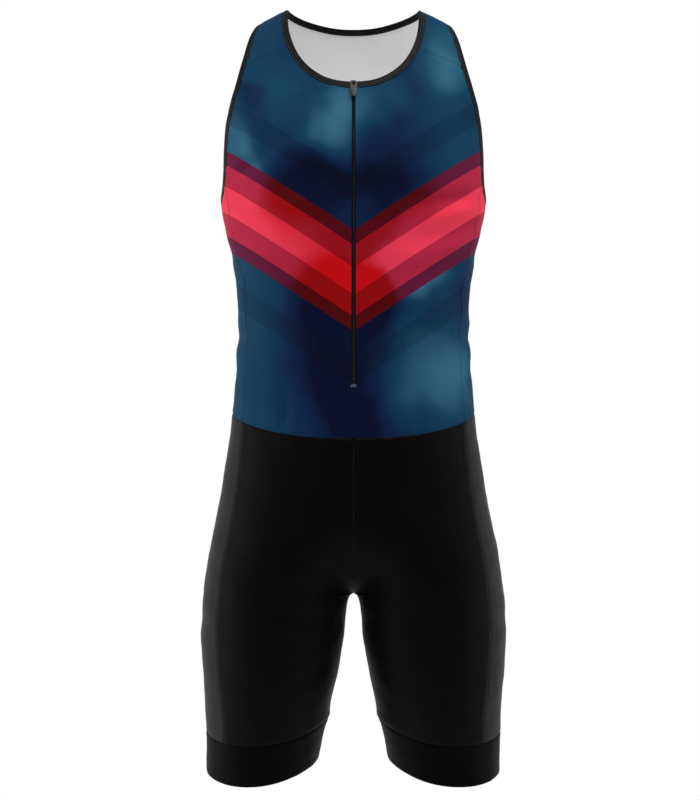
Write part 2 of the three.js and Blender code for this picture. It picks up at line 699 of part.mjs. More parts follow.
function zipStop() {
  const block = new THREE.BoxGeometry(ZIP_STOP.width, ZIP_STOP.height, ZIP_STOP.thickness);
  return block.translate(0, ZIP_STOP.height / 2 + 0.6, ZIP_STOP.thickness / 2 + SEAM_GAP);
}

const cloth = (color, roughness) =>
  new THREE.MeshStandardMaterial({ color, roughness, metalness: 0, side: THREE.DoubleSide });
const TEAL = cloth(0x1d4f6b, 0.55);
const BLACK_KNIT = cloth(0x141415, 0.6);
const TAPE = cloth(0x0c0c0d, 0.5);
const COIL = new THREE.MeshStandardMaterial({ color: 0x0b0c0e, roughness: 0.45, metalness: 0 });
const LACQUER = new THREE.MeshStandardMaterial({ color: 0x17181a, roughness: 0.35, metalness: 0.4 });

const suit = new THREE.Group();

function piece(name, geometry, material, parent = suit) {
  const mesh = new THREE.Mesh(geometry, material);
  mesh.name = name;
  parent.add(mesh);
  return mesh;
}

piece("front_panel", frontPanel(), TEAL);
piece("back_panel", backPanel(), TEAL);
piece("neck_binding", boundEdge(neckBindingEdge(), false), TAPE);
piece("zip_tape", zipStrip(), COIL);

for (const side of ["left", "right"]) {
  const own = side === "left" ? (rows) => rows : mirroredRows;
  const armholeEdge = armholeBindingEdge();
  piece(`side_panel_${side}`, new Sheet().add(own(sidePanel)).wall(), TEAL);
  piece(`armhole_binding_${side}`, boundEdge(own([armholeEdge])[0], true), TAPE);
  piece(`shorts_front_${side}`, new Sheet().add(own(shortsFront)).wall(), BLACK_KNIT);
  piece(`shorts_side_${side}`, new Sheet().add(own(shortsSide)).wall(), BLACK_KNIT);
  piece(`shorts_back_${side}`, new Sheet().add(own(shortsBack)).wall(), BLACK_KNIT);
  piece(`leg_band_${side}`, new Sheet().add(own(legBand), true).wall(), BLACK_KNIT);
}

const zipHead = new THREE.Group();
zipHead.applyMatrix4(placeOnFront(frontNeck[0].h));
suit.add(zipHead);
piece("zip_slider", slider(), LACQUER, zipHead);
piece("zip_pull_tab", pullTab(), LACQUER, zipHead).position.set(0, HINGE_HEIGHT, hingeOut);

const zipFoot = new THREE.Group();
zipFoot.applyMatrix4(placeOnFront(ZIP_BOTTOM));
suit.add(zipFoot);
piece("zip_stop", zipStop(), COIL, zipFoot);

export default suit;
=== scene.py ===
import math

import bmesh
import bpy
import numpy as np
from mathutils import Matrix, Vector


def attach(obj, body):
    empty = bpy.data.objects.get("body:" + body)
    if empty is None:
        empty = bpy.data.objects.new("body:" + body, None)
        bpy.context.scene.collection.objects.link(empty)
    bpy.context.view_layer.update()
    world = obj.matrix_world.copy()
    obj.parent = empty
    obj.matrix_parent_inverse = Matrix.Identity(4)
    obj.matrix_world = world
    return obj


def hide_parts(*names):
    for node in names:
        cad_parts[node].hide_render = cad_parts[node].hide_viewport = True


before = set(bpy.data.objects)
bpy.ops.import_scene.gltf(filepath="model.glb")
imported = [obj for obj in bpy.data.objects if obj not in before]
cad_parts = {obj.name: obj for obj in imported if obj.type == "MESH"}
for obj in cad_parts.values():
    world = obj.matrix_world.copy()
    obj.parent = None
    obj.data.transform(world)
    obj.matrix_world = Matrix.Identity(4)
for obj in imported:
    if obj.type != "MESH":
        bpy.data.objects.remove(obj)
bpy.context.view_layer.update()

# Camera: straight at the front of the suit and level with its middle, 2.2 m away, as the photograph
# was taken. A pixel of its 700 x 800 frame covers 1.24 mm at the suit's mid depth.
FRAME_HEIGHT_PX = 800
PIXEL_SIZE = 0.00124
SENSOR_MM = 36
EYE = Vector((-0.0043, -2.2, -0.4786))

camera_data = bpy.data.cameras.new("front_camera")
camera_data.sensor_width = SENSOR_MM
camera_data.lens = SENSOR_MM * -EYE.y / (FRAME_HEIGHT_PX * PIXEL_SIZE)
camera = bpy.data.objects.new("front_camera", camera_data)
camera.location = EYE
camera.rotation_euler = (math.pi / 2, 0, 0)
bpy.context.scene.collection.objects.link(camera)
bpy.context.scene.camera = camera
bpy.context.scene.view_settings.view_transform = "Standard"


# Studio: a white room whose walls are brightest at eye level and dimmer behind the camera, a pale floor
# where the wearer would stand, and soft boxes at both sides and above the camera.
def linear(code):
    """The linear colour of an sRGB hex code, each channel taken back through the sRGB curve."""
    channels = [int(code[i : i + 2], 16) / 255 for i in (1, 3, 5)]
    return (*[c / 12.92 if c <= 0.04045 else ((c + 0.055) / 1.055) ** 2.4 for c in channels], 1.0)


def add_node(tree, kind, inputs=None, **settings):
    """Adds one node: settings are its own properties, and inputs gives each socket a value or a link."""
    node = tree.nodes.new("ShaderNode" + kind)
    for name, value in settings.items():
        setattr(node, name, value)
    for socket, value in (inputs or {}).items():
        if isinstance(value, bpy.types.NodeSocket):
            tree.links.new(value, node.inputs[socket])
        else:
            node.inputs[socket].default_value = value
    return node


def combined(tree, operation, *values, kind="Math"):
    """The result of a Math or VectorMath node, whose inputs are values or links."""
    return add_node(tree, kind, dict(enumerate(values)), operation=operation).outputs[0]


def ranged(tree, value, low, high, start=0.0, end=1.0, **settings):
    """A value mapped so that its run from start to end becomes one from low to high."""
    sockets = {"Value": value, "From Min": start, "From Max": end, "To Min": low, "To Max": high}
    return add_node(tree, "MapRange", sockets, **settings).outputs["Result"]


def new_material(name, constants):
    """A material, its node tree and its shader, with the constants set on the shader's sockets."""
    material = bpy.data.materials.new(name)
    material.use_nodes = True
    shader = material.node_tree.nodes["Principled BSDF"]
    for socket, value in constants.items():
        shader.inputs[socket].default_value = value
    return material, material.node_tree, shader


WALL_LIGHT = {"eye_level": 1.0, "above": 0.34, "band": 0.23, "fade": 0.42, "behind_camera": 0.29}
BEHIND_CAMERA = (-0.75, -0.2)  # between these slopes towards the camera the walls turn dim
FLOOR = {"height": -1.45, "radius": 1.9, "glow": 0.3, "corners": 96}
SOFT_BOXES = [
    # name, place, width, height, power
    ("soft_box_right_side", (-2.5, -0.3, -0.35), 1.1, 2.4, 36),
    ("soft_box_left_side", (2.5, -0.3, -0.35), 1.1, 2.4, 12),
    ("soft_box_above", (0.4, -1.3, 2.0), 2.2, 2.2, 82),
]

world = bpy.data.worlds.new("studio")
bpy.context.scene.world = world
world.use_nodes = True
room = world.node_tree
room.nodes.clear()
direction = add_node(room, "TexCoord").outputs["Generated"]
slopes = add_node(room, "SeparateXYZ", {"Vector": direction}).outputs
brightness = ranged(
    room, combined(room, "ABSOLUTE", slopes["Z"]), WALL_LIGHT["eye_level"], WALL_LIGHT["above"],
    WALL_LIGHT["band"], WALL_LIGHT["fade"], interpolation_type="SMOOTHSTEP",
)
dimmed = ranged(
    room, slopes["Y"], WALL_LIGHT["behind_camera"], 1.0, *BEHIND_CAMERA, interpolation_type="SMOOTHSTEP"
)
strength = combined(room, "MULTIPLY", brightness, dimmed)
walls = add_node(room, "Background", {"Color": linear("#ffffff"), "Strength": strength})
add_node(room, "OutputWorld", {"Surface": walls.outputs[0]})

for lamp_name, place, width, height, power in SOFT_BOXES:
    light = bpy.data.lights.new(lamp_name, "AREA")
    light.shape = "RECTANGLE"
    light.size = width
    light.size_y = height
    light.energy = power
    lamp = bpy.data.objects.new(lamp_name, light)
    lamp.location = place
    towards = Vector((0, 0, EYE.z)) - lamp.location
    lamp.rotation_euler = towards.to_track_quat("-Z", "Y").to_euler()
    lamp.visible_camera = False
    bpy.context.scene.collection.objects.link(lamp)

floor_mesh = bpy.data.meshes.new("floor")
corners = np.arange(FLOOR["corners"]) * 2 * math.pi / FLOOR["corners"]
rim = np.stack([np.cos(corners), np.sin(corners), np.zeros(len(corners))], axis=1) * FLOOR["radius"]
rim[:, 2] = FLOOR["height"]
floor_mesh.from_pydata(rim.tolist(), [], [list(range(len(corners)))])
floor = bpy.data.objects.new("floor", floor_mesh)
bpy.context.scene.collection.objects.link(floor)
floor_paint, _, _ = new_material("matt white floor paint", {
    "Base Color": linear("#f2f2f2"), "Roughness": 0.9,
    "Emission Color": linear("#ffffff"), "Emission Strength": FLOOR["glow"],
})
floor_mesh.materials.append(floor_paint)


# Front panel: one piece of warp-knitted nylon and elastane jersey, dye-printed on its outer face and
# white inside. It is slit from the neck down for the zip, and sewn to the side and back panels with
# flat seams. Its form is the whole suit's, so the suit's sections are worked out here, in millimetres.
ARMPIT = -236.0
ARCH = 230.0  # above the armpit, millimetres of height for each radian over the shoulder
SHOULDER = {"top": 66.8, "fall": 0.6, "rounding": 60}
SHOULDER_LEAN = 8.0
CROTCH = -717.0
JOIN_TOP = -544.0  # from here up the two legs are one body
CROTCH_ARCH = 20.0  # height below the crotch over which the gap between the legs closes
ARCH_EDGE = 8  # power by which the arch keeps to the inner edge of the leg
CROTCH_CURVE = 95.0  # height above the crotch over which the front turns straight
ARMHOLE_CORNER = -198.0  # where the side seams end at the armhole
WAIST_SEAM = {"front": 150.5, "back": 209.5}  # angles of the side seams at the waist
WAIST = {"side": -493.5, "both_dip": 12.8, "front_dip": 17.8}
ZIP_BOTTOM = -460.5
SLIT = {"foot": 2.9, "narrows": 0.8, "over": 350}
JERSEY = 0.8  # thickness of the cloth
STEP = 3.0  # spacing of the cloth's mesh
SEAM_ROWS = np.array([0, 0.5, 1.1, 1.8, 2.8, 4.2])  # distances of its closer rows from a seam
EDGE_SAMPLES = 4000  # points at which the neckline is measured
SLOPE_STEP = {"angle": 0.3, "height": 0.4}  # between the points that give the form's slopes

LEVELS = np.array([
    # height, half width, depth in front, depth behind, how square the section is
    (-948, 181.4, 75, 75, 2.1),
    (-915, 181.4, 78, 79, 2.1),
    (-886, 181.8, 83, 85, 2.1),
    (-847, 183.6, 89, 92, 2.1),
    (-797, 187.2, 94, 99, 2.12),
    (-760, 188.6, 96.5, 104, 2.15),
    (-714, 185.2, 98, 111, 2.2),
    (-667, 178.8, 99, 117, 2.25),
    (-611, 167.4, 101, 115, 2.3),
    (-555, 158.2, 102, 107, 2.3),
    (-500, 150.2, 101.5, 98, 2.3),
    (-444, 145.8, 100.5, 92, 2.3),
    (-388, 142.6, 101.5, 93, 2.3),
    (-332, 145.2, 106, 101, 2.3),
    (-290, 153, 110, 108, 2.3),
    (-236, 163.8, 113, 113, 2.3),
    (-146, 167.5, 112, 118, 2.3),
    (-56, 171, 106, 114, 2.3),
    (35, 175, 100, 104, 2.3),
    (126, 178, 96, 98, 2.3),
])
LEG_GAP = np.array([
    # height, half the gap between the legs
    (-948, 48.2), (-918, 42), (-890, 36.6), (-872, 32.2), (-847, 26.7), (-816, 19.5),
    (-797, 15.8), (-779, 12.8), (-760, 10.4), (-738, 8.7), (-717, 7.9),
])
SIDE_SEAMS = np.array([
    # height, angle of the front seam, angle of the back seam (90 is mid front, 180 the side)
    (-886, 129, 229), (-868, 129.5, 228.5), (-820, 134.5, 225), (-760, 136, 224), (-714, 136.5, 223.5),
    (-660, 140, 220), (-611, 145, 215), (-560, 148.5, 211.5), (-519, 150.5, 209.5),
    (-486, 150.5, 209.5), (-420, 152, 208), (-350, 154.5, 205.5), (-290, 157.5, 202.5),
])
ARMHOLE_EDGE = np.array([
    # angle over the shoulder from the armpit at the front, distance from the middle of the body
    (3, 156.6), (12.5, 154.6), (23, 152.8), (34, 144.5), (47, 132.5), (65, 122), (90, 111.5),
    (112, 110), (132, 117), (148, 130), (160, 143), (170, 152.5), (177, 156.6),
])
NECK_HALF_WIDTH = 88.0
NECK_DROP = {"front": 110.5, "back": 16.5}
NECK_SQUARE = {"front": 2.3, "back": 2.0}
NECK_SAG = {"front": 2 / 2.3, "back": 1.8}  # power of the drop: the back's edge hangs nearly as a parabola
SHOULDER_SEAM_TURN = 48.0


def curve_through(at, value):
    """A smooth curve through points: cubic Hermite pieces, whose slope at each point is the mean of the
    slopes of the two chords beside it, each weighted by the other's length."""
    span = np.diff(at)
    chord = np.diff(value) / span
    inner = (chord[:-1] * span[1:] + chord[1:] * span[:-1]) / (span[:-1] + span[1:])
    slope = np.concatenate([chord[:1], inner, chord[-1:]])

    def curve(k):
        k = np.clip(k, at[0], at[-1])
        i = np.clip(np.searchsorted(at, k) - 1, 0, len(span) - 1)
        t = (k - at[i]) / span[i]
        start = value[i] * (1 + 2 * t) * (1 - t) ** 2 + slope[i] * span[i] * t * (1 - t) ** 2
        return start + value[i + 1] * t * t * (3 - 2 * t) + slope[i + 1] * span[i] * t * t * (t - 1)

    return curve


half_width_at, front_depth_at, back_depth_at, square_at = [
    curve_through(LEVELS[:, 0], LEVELS[:, column]) for column in (1, 2, 3, 4)
]
leg_gap_at = curve_through(LEG_GAP[:, 0], LEG_GAP[:, 1])
armhole_x_at = curve_through(ARMHOLE_EDGE[:, 0], ARMHOLE_EDGE[:, 1])


def shoulder_height(x):
    """Height of the shoulder's top above the armpit: it falls outwards along a hyperbola."""
    return SHOULDER["top"] - SHOULDER["fall"] * np.hypot(x, SHOULDER["rounding"]) - ARMPIT


def squared_off(wave, square):
    """A sine or cosine, flattened so that an ellipse turns into a superellipse; 2 leaves it as it is."""
    return np.sign(wave) * np.abs(wave) ** (2 / square)


def first_angle_at(h):
    """The angle at which the section at a height meets the middle plane."""
    rise = np.clip((h - CROTCH) / (JOIN_TOP - CROTCH), 0, 1)
    return 90 * rise * rise * (3 - 2 * rise)


def suit_point(angle, h):
    """A point of the cloth's outer face on the wearer's left. At each height the section is a half
    superellipse outside a middle line in the leg, and inside that line its other half, which fills
    out above the crotch until the front runs straight across. Just below the crotch the gap between
    the legs closes along an arch. Above the armpit the section leans in along a quarter arch to the
    top of the shoulder."""
    half, gap, square = half_width_at(h), leg_gap_at(h), square_at(h)
    first = first_angle_at(h)
    middle = (half + gap) / 2 * (1 - first / 90)
    inside = gap * np.sqrt(1 - (1 - np.clip((CROTCH - h) / CROTCH_ARCH, 0, 1)) ** 2)
    filled = (1 - (1 - np.clip((h - CROTCH) / CROTCH_CURVE, 0, 1)) ** 2) ** square
    turn = np.maximum(0, (h - ARMPIT) / ARCH)
    turned = np.mod(angle, 360)
    in_front = turned < 180
    around = np.where(in_front, turned, 360 - turned)
    x = middle - (half - middle) * squared_off(np.cos(np.radians(around)), square)
    share = np.abs(np.sin(np.radians(around))) ** (2 / square)
    local = np.radians(90 * (around - first) / np.maximum(90 - first, 1e-9))
    raised = np.sin(local) ** 4
    open_gap = gap * (1 - first / 90)
    inner_x = middle + (open_gap - middle) * np.abs(np.cos(local)) ** (2 / square)
    inner_x = inner_x - (open_gap - inside) * np.cos(local) ** ARCH_EDGE
    inner_share = (raised + filled * (1 - raised)) ** (0.5 / square)
    on_inner = (around < 90) & (first < 90)
    x = np.where(on_inner, np.where(local < 0, -inner_x, inner_x), x)
    share = np.where(on_inner, inner_share, share)
    depth = np.where(in_front, -front_depth_at(h), back_depth_at(h))
    y = SHOULDER_LEAN * (1 - np.cos(turn)) + depth * share * np.cos(turn)
    z = np.where(turn > 0, ARMPIT + shoulder_height(x) * np.sin(turn), h)
    return np.stack([x, y, z], axis=-1)


def unit(vectors):
    return vectors / np.linalg.norm(vectors, axis=-1, keepdims=True)


def suit_surface(angle, h, centre_column=None):
    """Points and outward normals of the cloth, from the slopes of its face both ways. On the centre
    seam of the shorts the normals stay in the middle plane."""
    angle, h = np.broadcast_arrays(np.asarray(angle, float), np.asarray(h, float))
    turn, rise = SLOPE_STEP["angle"], SLOPE_STEP["height"]
    # Just above the crotch, where the form changes, the slope is taken upwards only.
    below = np.where((h > CROTCH) & (h < CROTCH + 0.5), 0, rise)
    around = suit_point(angle + turn, h) - suit_point(angle - turn, h)
    up = suit_point(angle, h + rise) - suit_point(angle, h - below)
    normals = np.cross(around, up)
    if centre_column is not None:
        rows = (h[:, centre_column] >= CROTCH) & (h[:, centre_column] < JOIN_TOP)
        normals[rows, centre_column, 0] = 0
        at_crotch = np.abs(h[:, centre_column] - CROTCH) < 0.01
        normals[at_crotch, centre_column] = (0, 0, -1)
    return suit_point(angle, h), unit(normals)


def sideways(x, h):
    """The angle from the middle of the front or back at which the trunk is x wide."""
    share = np.clip(x / half_width_at(h), 0, 1)
    return np.degrees(np.arcsin(share ** (square_at(h) / 2)))


def height_over_shoulder(turn):
    return ARMPIT + ARCH * np.radians(np.minimum(turn, 180 - turn))


def armhole_angle(turn):
    return sideways(armhole_x_at(turn), height_over_shoulder(turn))


corner_turn = math.degrees((ARMHOLE_CORNER - ARMPIT) / ARCH)
seam_heights = np.append(SIDE_SEAMS[:, 0], ARMHOLE_CORNER)
front_seam_at = curve_through(seam_heights, np.append(SIDE_SEAMS[:, 1], 90 + armhole_angle(corner_turn)))
back_seam_at = curve_through(
    seam_heights, np.append(SIDE_SEAMS[:, 2], 270 - armhole_angle(180 - corner_turn))
)


def waist_height(angle):
    """The waist seam dips towards the middle of the front."""
    forwards = np.sin(np.radians(angle))
    return WAIST["side"] - WAIST["both_dip"] * forwards**2 - WAIST["front_dip"] * forwards


def neck_edge(swing, face):
    """A point of the neckline's cut edge, a half superellipse, as its distance from the middle and its
    angle over the shoulder. swing runs from 0 in the middle to 90 at the top of the strap."""
    square = NECK_SQUARE[face]
    x = NECK_HALF_WIDTH * np.sin(np.radians(swing)) ** (2 / square)
    drop = NECK_DROP[face] * np.maximum(0, np.cos(np.radians(swing))) ** NECK_SAG[face]
    z = ARMPIT + shoulder_height(NECK_HALF_WIDTH) - drop
    return x, np.degrees(np.arcsin(np.minimum(1, (z - ARMPIT) / shoulder_height(x))))


def lengths_to(line):
    """Running length of a line at each of its points."""
    return np.append(0, np.cumsum(np.linalg.norm(np.diff(line, axis=0), axis=1)))


def even_neck_edge(face, first, last):
    """Points of the neckline between two swings, a mesh step apart along it."""
    swings = np.linspace(first, last, EDGE_SAMPLES)
    x, turn = neck_edge(swings, face)
    h = height_over_shoulder(turn)
    places = suit_point(90 + sideways(x, h) if face == "front" else 270 - sideways(x, h), h)
    lengths = lengths_to(places)
    count = round(lengths[-1] / STEP)
    return neck_edge(np.interp(np.linspace(0, lengths[-1], count + 1), lengths, swings), face)


def spaced(length):
    """Shares from 0 to 1 of a stretch of cloth, a step apart, and closer at both ends for the seams."""
    last = SEAM_ROWS[-1]
    between = np.linspace(last, length - last, round((length - 2 * last) / STEP) + 1)
    return np.concatenate([SEAM_ROWS[:-1], between, length - SEAM_ROWS[:-1][::-1]]) / length


def blend(start, end, share):
    """Rows between two edges: start and end are one value a row, share one value a column."""
    start, end = np.asarray(start, float), np.asarray(end, float)
    return start[..., None] + (end - start)[..., None] * share


def chest_rows(x, turn, across):
    """Angles and heights of rows over the chest or the back, from a distance x to the armhole."""
    h = height_over_shoulder(turn)
    aside = blend(sideways(x, h), armhole_angle(turn), across)
    return np.where(turn[:, None] < 90, 90 + aside, 270 - aside), blend(h, h, across)


def zip_half_width(h):
    """Half the width of the slit, which is a little wider at its lower end."""
    return SLIT["foot"] - SLIT["narrows"] * np.clip((h - ZIP_BOTTOM) / SLIT["over"], 0, 1)


FRONT_FOLDS = [
    # start x, z, end x, z, half width, depth and bow of each soft trough
    (150, -228, 46, -250, 9, 4.4, 5),
    (156, -258, 36, -298, 10, 4.6, 7),
    (150, -292, 30, -344, 11, 3.8, 8),
    (150, -332, 54, -380, 10, 2.6, 6),
    (-146, -207, -84, -166, 8, 3.4, -5),
    (-152, -240, -88, -292, 9, 3.8, 6),
    (-152, -268, -56, -336, 10, 3.2, 8),
    (-146, -330, -66, -386, 11, 2.6, 8),
    (-132, -94, -98, -152, 8, 2.2, -4),
    (130, -106, 104, -164, 8, 2.0, 4),
    (-114, -516, -112, -446, 6, 1.2, 2),
    (-84, -522, -82, -424, 7, 1.8, -3),
    (-38, -532, -36, -442, 6, 1.4, 2),
    (40, -532, 46, -436, 7, 1.7, -3),
    (76, -524, 84, -448, 6, 1.2, 3),
    (112, -516, 118, -434, 7, 1.5, 2),
    (-26, -120, -62, -182, 9, 1.8, 3),
    (24, -118, 66, -176, 9, 1.7, -4),
    (2, -724, -82, -684, 8, 2.8, 4),
    (-2, -724, 84, -690, 8, 2.6, -4),
    (4, -730, -104, -640, 10, 1.9, -6),
    (-4, -730, 100, -646, 10, 1.8, 7),
    (-22, -752, -110, -728, 9, 1.8, -5),
    (22, -752, 108, -732, 9, 1.8, 5),
    (-30, -800, -100, -822, 9, 1.0, 4),
    (34, -806, 104, -824, 9, 1.0, -4),
]
BACK_FOLDS = [
    (-160, -226, -70, -290, 10, 2.6, 6),
    (158, -232, 62, -300, 10, 2.7, -6),
    (-150, -290, -40, -352, 11, 2.2, 8),
    (152, -300, 50, -356, 11, 2.0, -8),
    (-130, -398, 20, -412, 9, 2.2, 6),
    (136, -424, -24, -440, 9, 2.4, -5),
    (-124, -462, 30, -470, 9, 2.0, 6),
    (-96, -130, -40, -190, 10, 1.6, 4),
    (98, -126, 44, -196, 10, 1.5, -4),
    (-84, -552, -78, -466, 7, 1.5, 3),
    (70, -556, 80, -462, 7, 1.6, -3),
    (2, -724, -96, -700, 10, 3.0, 7),
    (-2, -724, 98, -706, 10, 2.8, -7),
    (-20, -752, -120, -738, 9, 2.0, -5),
    (20, -752, 122, -742, 9, 1.9, 5),
    (3, -730, -70, -628, 12, 2.0, 8),
    (-3, -730, 74, -632, 12, 1.9, -8),
]
SIDE_FOLDS = [
    # start y, z, end y, z: across both side panels
    (-70, -400, 60, -412, 9, 1.8, 4),
    (66, -440, -60, -450, 9, 1.7, -4),
    (-80, -288, 50, -316, 10, 1.5, 5),
    (60, -620, -40, -640, 11, 1.0, 5),
    (-66, -744, 50, -762, 11, 1.1, 5),
]
UNEVENNESS = [
    # height, then for each of two sine waves what x, y and z are divided by, and its shift
    (0.50, (17, math.inf, 29, 0.6), (math.inf, 23, -21, 1.9)),
    (0.22, (7.3, 9.1, -11.9, 0), (13, math.inf, 8.7, 2.2)),
    (0.10, (5.1, 6.3, 3.4, 0), (4.3, math.inf, -6.1, 0)),
]
CROTCH_CALM = {"from": 5, "over": 34}  # distance from the crotch where the folds begin, and their rise
INNER_PUFF = {"x": 29, "z": -867, "across": 15, "through": 42, "up": 7, "height": 1.9}
HOLLOWS = [
    # x, z, half width, half height and depth of broad soft hollows (or, below 0, swells) on the front
    (29, -346, 26, 46, 3.6),
    (-31, -376, 24, 52, 3.6),
    (-62, -222, 44, 22, 3.4),
    (52, -224, 44, 21, 3.0),
    (0, -300, 16, 60, 1.5),
    (-64, -166, 50, 34, -2.2),
    (60, -168, 50, 34, -2.0),
    (-100, -470, 30, 34, 1.2),
    (60, -600, 44, 34, 1.6),
    (-60, -604, 40, 36, 1.4),
]


def smooth(value):
    """0 below 0, 1 above 1, and a smooth step between."""
    t = np.clip(value, 0, 1)
    return t * t * (3 - 2 * t)


def bell(off, width):
    """A Gauss curve: 1 in the middle, and about a third at its half width."""
    return np.exp(-((off / width) ** 2))


def bells(off, *each):
    """A sum of bells, each given by its height, its distance from the line and its half width."""
    return sum(height * bell(off - place, width) for height, place, width in each)


def trough(across, up, start_x, start_z, end_x, end_z, width, depth, bow):
    """A soft fold: a bell across a bowed line, with a low ridge along each side of it. It deepens over
    the first fifth of the line and dies away over the last three quarters."""
    length = math.hypot(end_x - start_x, end_z - start_z)
    along_x, along_z = (end_x - start_x) / length, (end_z - start_z) / length
    t = ((across - start_x) * along_x + (up - start_z) * along_z) / length
    held = np.clip(t, 0, 1)
    off = (up - start_z) * along_x - (across - start_x) * along_z - bow * 4 * held * (1 - held)
    spread = width * (0.75 + 0.5 * held)
    profile = bell(off, spread) - 0.4 * bell(np.abs(off) - 2 * spread, spread)
    return -depth * profile * smooth(t / 0.2) * smooth((1 - t) / 0.75)


def cloth_lift(points, normals):
    """How far worn cloth stands off the plain form, in mm: the folds listed for each face, weighted
    by how squarely the cloth faces that way, an unevenness as a sum of products of two slanting waves,
    and a puff at the inner leg over the band."""
    x, y, z = points[..., 0], points[..., 1], points[..., 2]
    facing_front = smooth(-1.6 * normals[..., 1])
    facing_back = smooth(1.6 * normals[..., 1])
    facing_side = smooth(1.5 * np.abs(normals[..., 0]) - 0.4)
    lift = 0
    for fold in FRONT_FOLDS:
        lift = lift + facing_front * trough(x, z, *fold)
    for fold in BACK_FOLDS:
        lift = lift + facing_back * trough(x, z, *fold)
    for fold in SIDE_FOLDS:
        lift = lift + facing_side * trough(y, z, *fold)
    for centre_x, centre_z, half_across, half_up, depth in HOLLOWS:
        reach = ((x - centre_x) / half_across) ** 2 + ((z - centre_z) / half_up) ** 2
        lift = lift - facing_front * depth * np.exp(-reach)
    for height, *pair in UNEVENNESS:
        first, second = [np.sin(x / a + y / b + z / c + shift) for a, b, c, shift in pair]
        lift = lift + height * first * second
    puff = INNER_PUFF
    reach = ((np.abs(x) - puff["x"]) / puff["across"]) ** 2 + (y / puff["through"]) ** 2
    lift = lift + puff["height"] * np.exp(-reach - ((z - puff["z"]) / puff["up"]) ** 2)
    return lift


def nearest(points, line):
    """For each point its distance from the nearest point of a line, and how far along the line that is."""
    flat = points.reshape(-1, 3)
    squared = (flat**2).sum(1)[:, None] + (line**2).sum(1) - 2 * flat @ line.T
    index = squared.argmin(1)
    distance = np.sqrt(np.maximum(0, squared[np.arange(len(flat)), index]))
    return distance.reshape(points.shape[:-1]), lengths_to(line)[index].reshape(points.shape[:-1])


def seam_relief(points, line):
    """Cloth at a flat seam: a narrow valley at the stitches and beside it a puff, whose height varies in
    waves 19, 50 and 107 mm long."""
    off, along = nearest(points, line)
    uneven = 1 + 0.45 * np.sin(along / 3.1) * np.sin(along / 7.9 + 1) + 0.3 * np.sin(along / 17)
    return bells(off, (-0.55, 0, 1.25), (0.26 * uneven, 4.6, 2.6))


def bound_relief(points, line):
    """Cloth beside a binding: puckers across the edge, where the stretched tape gathers it, as waves 11,
    19 and 42 mm long, and a groove at the tape."""
    off, along = nearest(points, line)
    wave = np.sin(along / 1.75) * np.sin(along / 6.7 + 0.8) + 0.7 * np.sin(along / 3.1 + 1.4)
    return bells(off, (0.20 * wave, 0, 6.5), (-0.25, 0, 1.6))


def zip_relief(points, line):
    """Cloth turned under along the zip: a low roll at its edge and a groove where it is sewn down."""
    off, _ = nearest(points, line)
    return bells(off, (0.22, 1.1, 1.1), (-0.28, 3.3, 0.8))


def mirrored(surface):
    points, normals = surface
    return points * (-1, 1, 1), normals * (-1, 1, 1)


def worn(surface, edges):
    """The cloth as worn: its points moved along their normals by the folds and by the relief at its edges,
    where edges pairs each line with its kind of relief. Round the crotch it is stretched and lies calm."""
    points, normals = surface
    lift = cloth_lift(points, normals)
    for relief, line in edges:
        lift = lift + relief(points, line)
    distance = np.hypot(points[..., 0], points[..., 2] - CROTCH)
    lift = lift * smooth((distance - CROTCH_CALM["from"]) / CROTCH_CALM["over"])
    return points + normals * lift[..., None], normals


def both_sides(edges):
    """The same edges again on the wearer's right."""
    return [(relief, line * side) for relief, line in edges for side in ((1, 1, 1), (-1, 1, 1))]


def lengths_along(points, axis):
    """Running length of a grid's rows or columns, from 0 at the first one."""
    steps = np.linalg.norm(np.diff(points, axis=axis), axis=-1)
    return np.insert(np.cumsum(steps, axis=axis), 0, 0, axis=axis)


def new_piece(name, points, faces, materials, face_materials=None, corner_uvs=None, sharp=None):
    """A mesh object at the origin from points in millimetres. sharp holds pairs of vertices whose edges
    stay sharp, and corner_uvs one place on the cloth for each corner of each face, in metres."""
    mesh = bpy.data.meshes.new(name)
    mesh.from_pydata((points / 1000).tolist(), [], faces)
    if face_materials is not None:
        mesh.polygons.foreach_set("material_index", face_materials)
    if corner_uvs is not None:
        mesh.uv_layers.new(name="cloth").uv.foreach_set("vector", corner_uvs.ravel())
    mesh.polygons.foreach_set("use_smooth", np.ones(len(faces), bool))
    if sharp is not None:
        ends = np.empty(2 * len(mesh.edges), np.int64)
        mesh.edges.foreach_get("vertices", ends)
        count = len(points)
        found = np.sort(ends.reshape(-1, 2), axis=1) @ (count, 1)
        wanted = np.sort(sharp, axis=1) @ (count, 1)
        mesh.attributes.new("sharp_edge", "BOOLEAN", "EDGE")
        mesh.attributes["sharp_edge"].data.foreach_set("value", np.isin(found, wanted))
    for material in materials:
        mesh.materials.append(material)
    mesh.update()
    piece = bpy.data.objects.new(name, mesh)
    bpy.context.scene.collection.objects.link(piece)
    return piece


def grid_quads(rows, columns, first, closed):
    """The four corners of each cell of a grid, whose last column joins its first if it is closed."""
    index = first + np.arange(rows * columns).reshape(rows, columns)
    if closed:
        index = np.hstack([index, index[:, :1]])
    cells = [index[:-1, :-1], index[:-1, 1:], index[1:, 1:], index[1:, :-1]]
    return np.stack(cells, axis=-1).reshape(-1, 4)


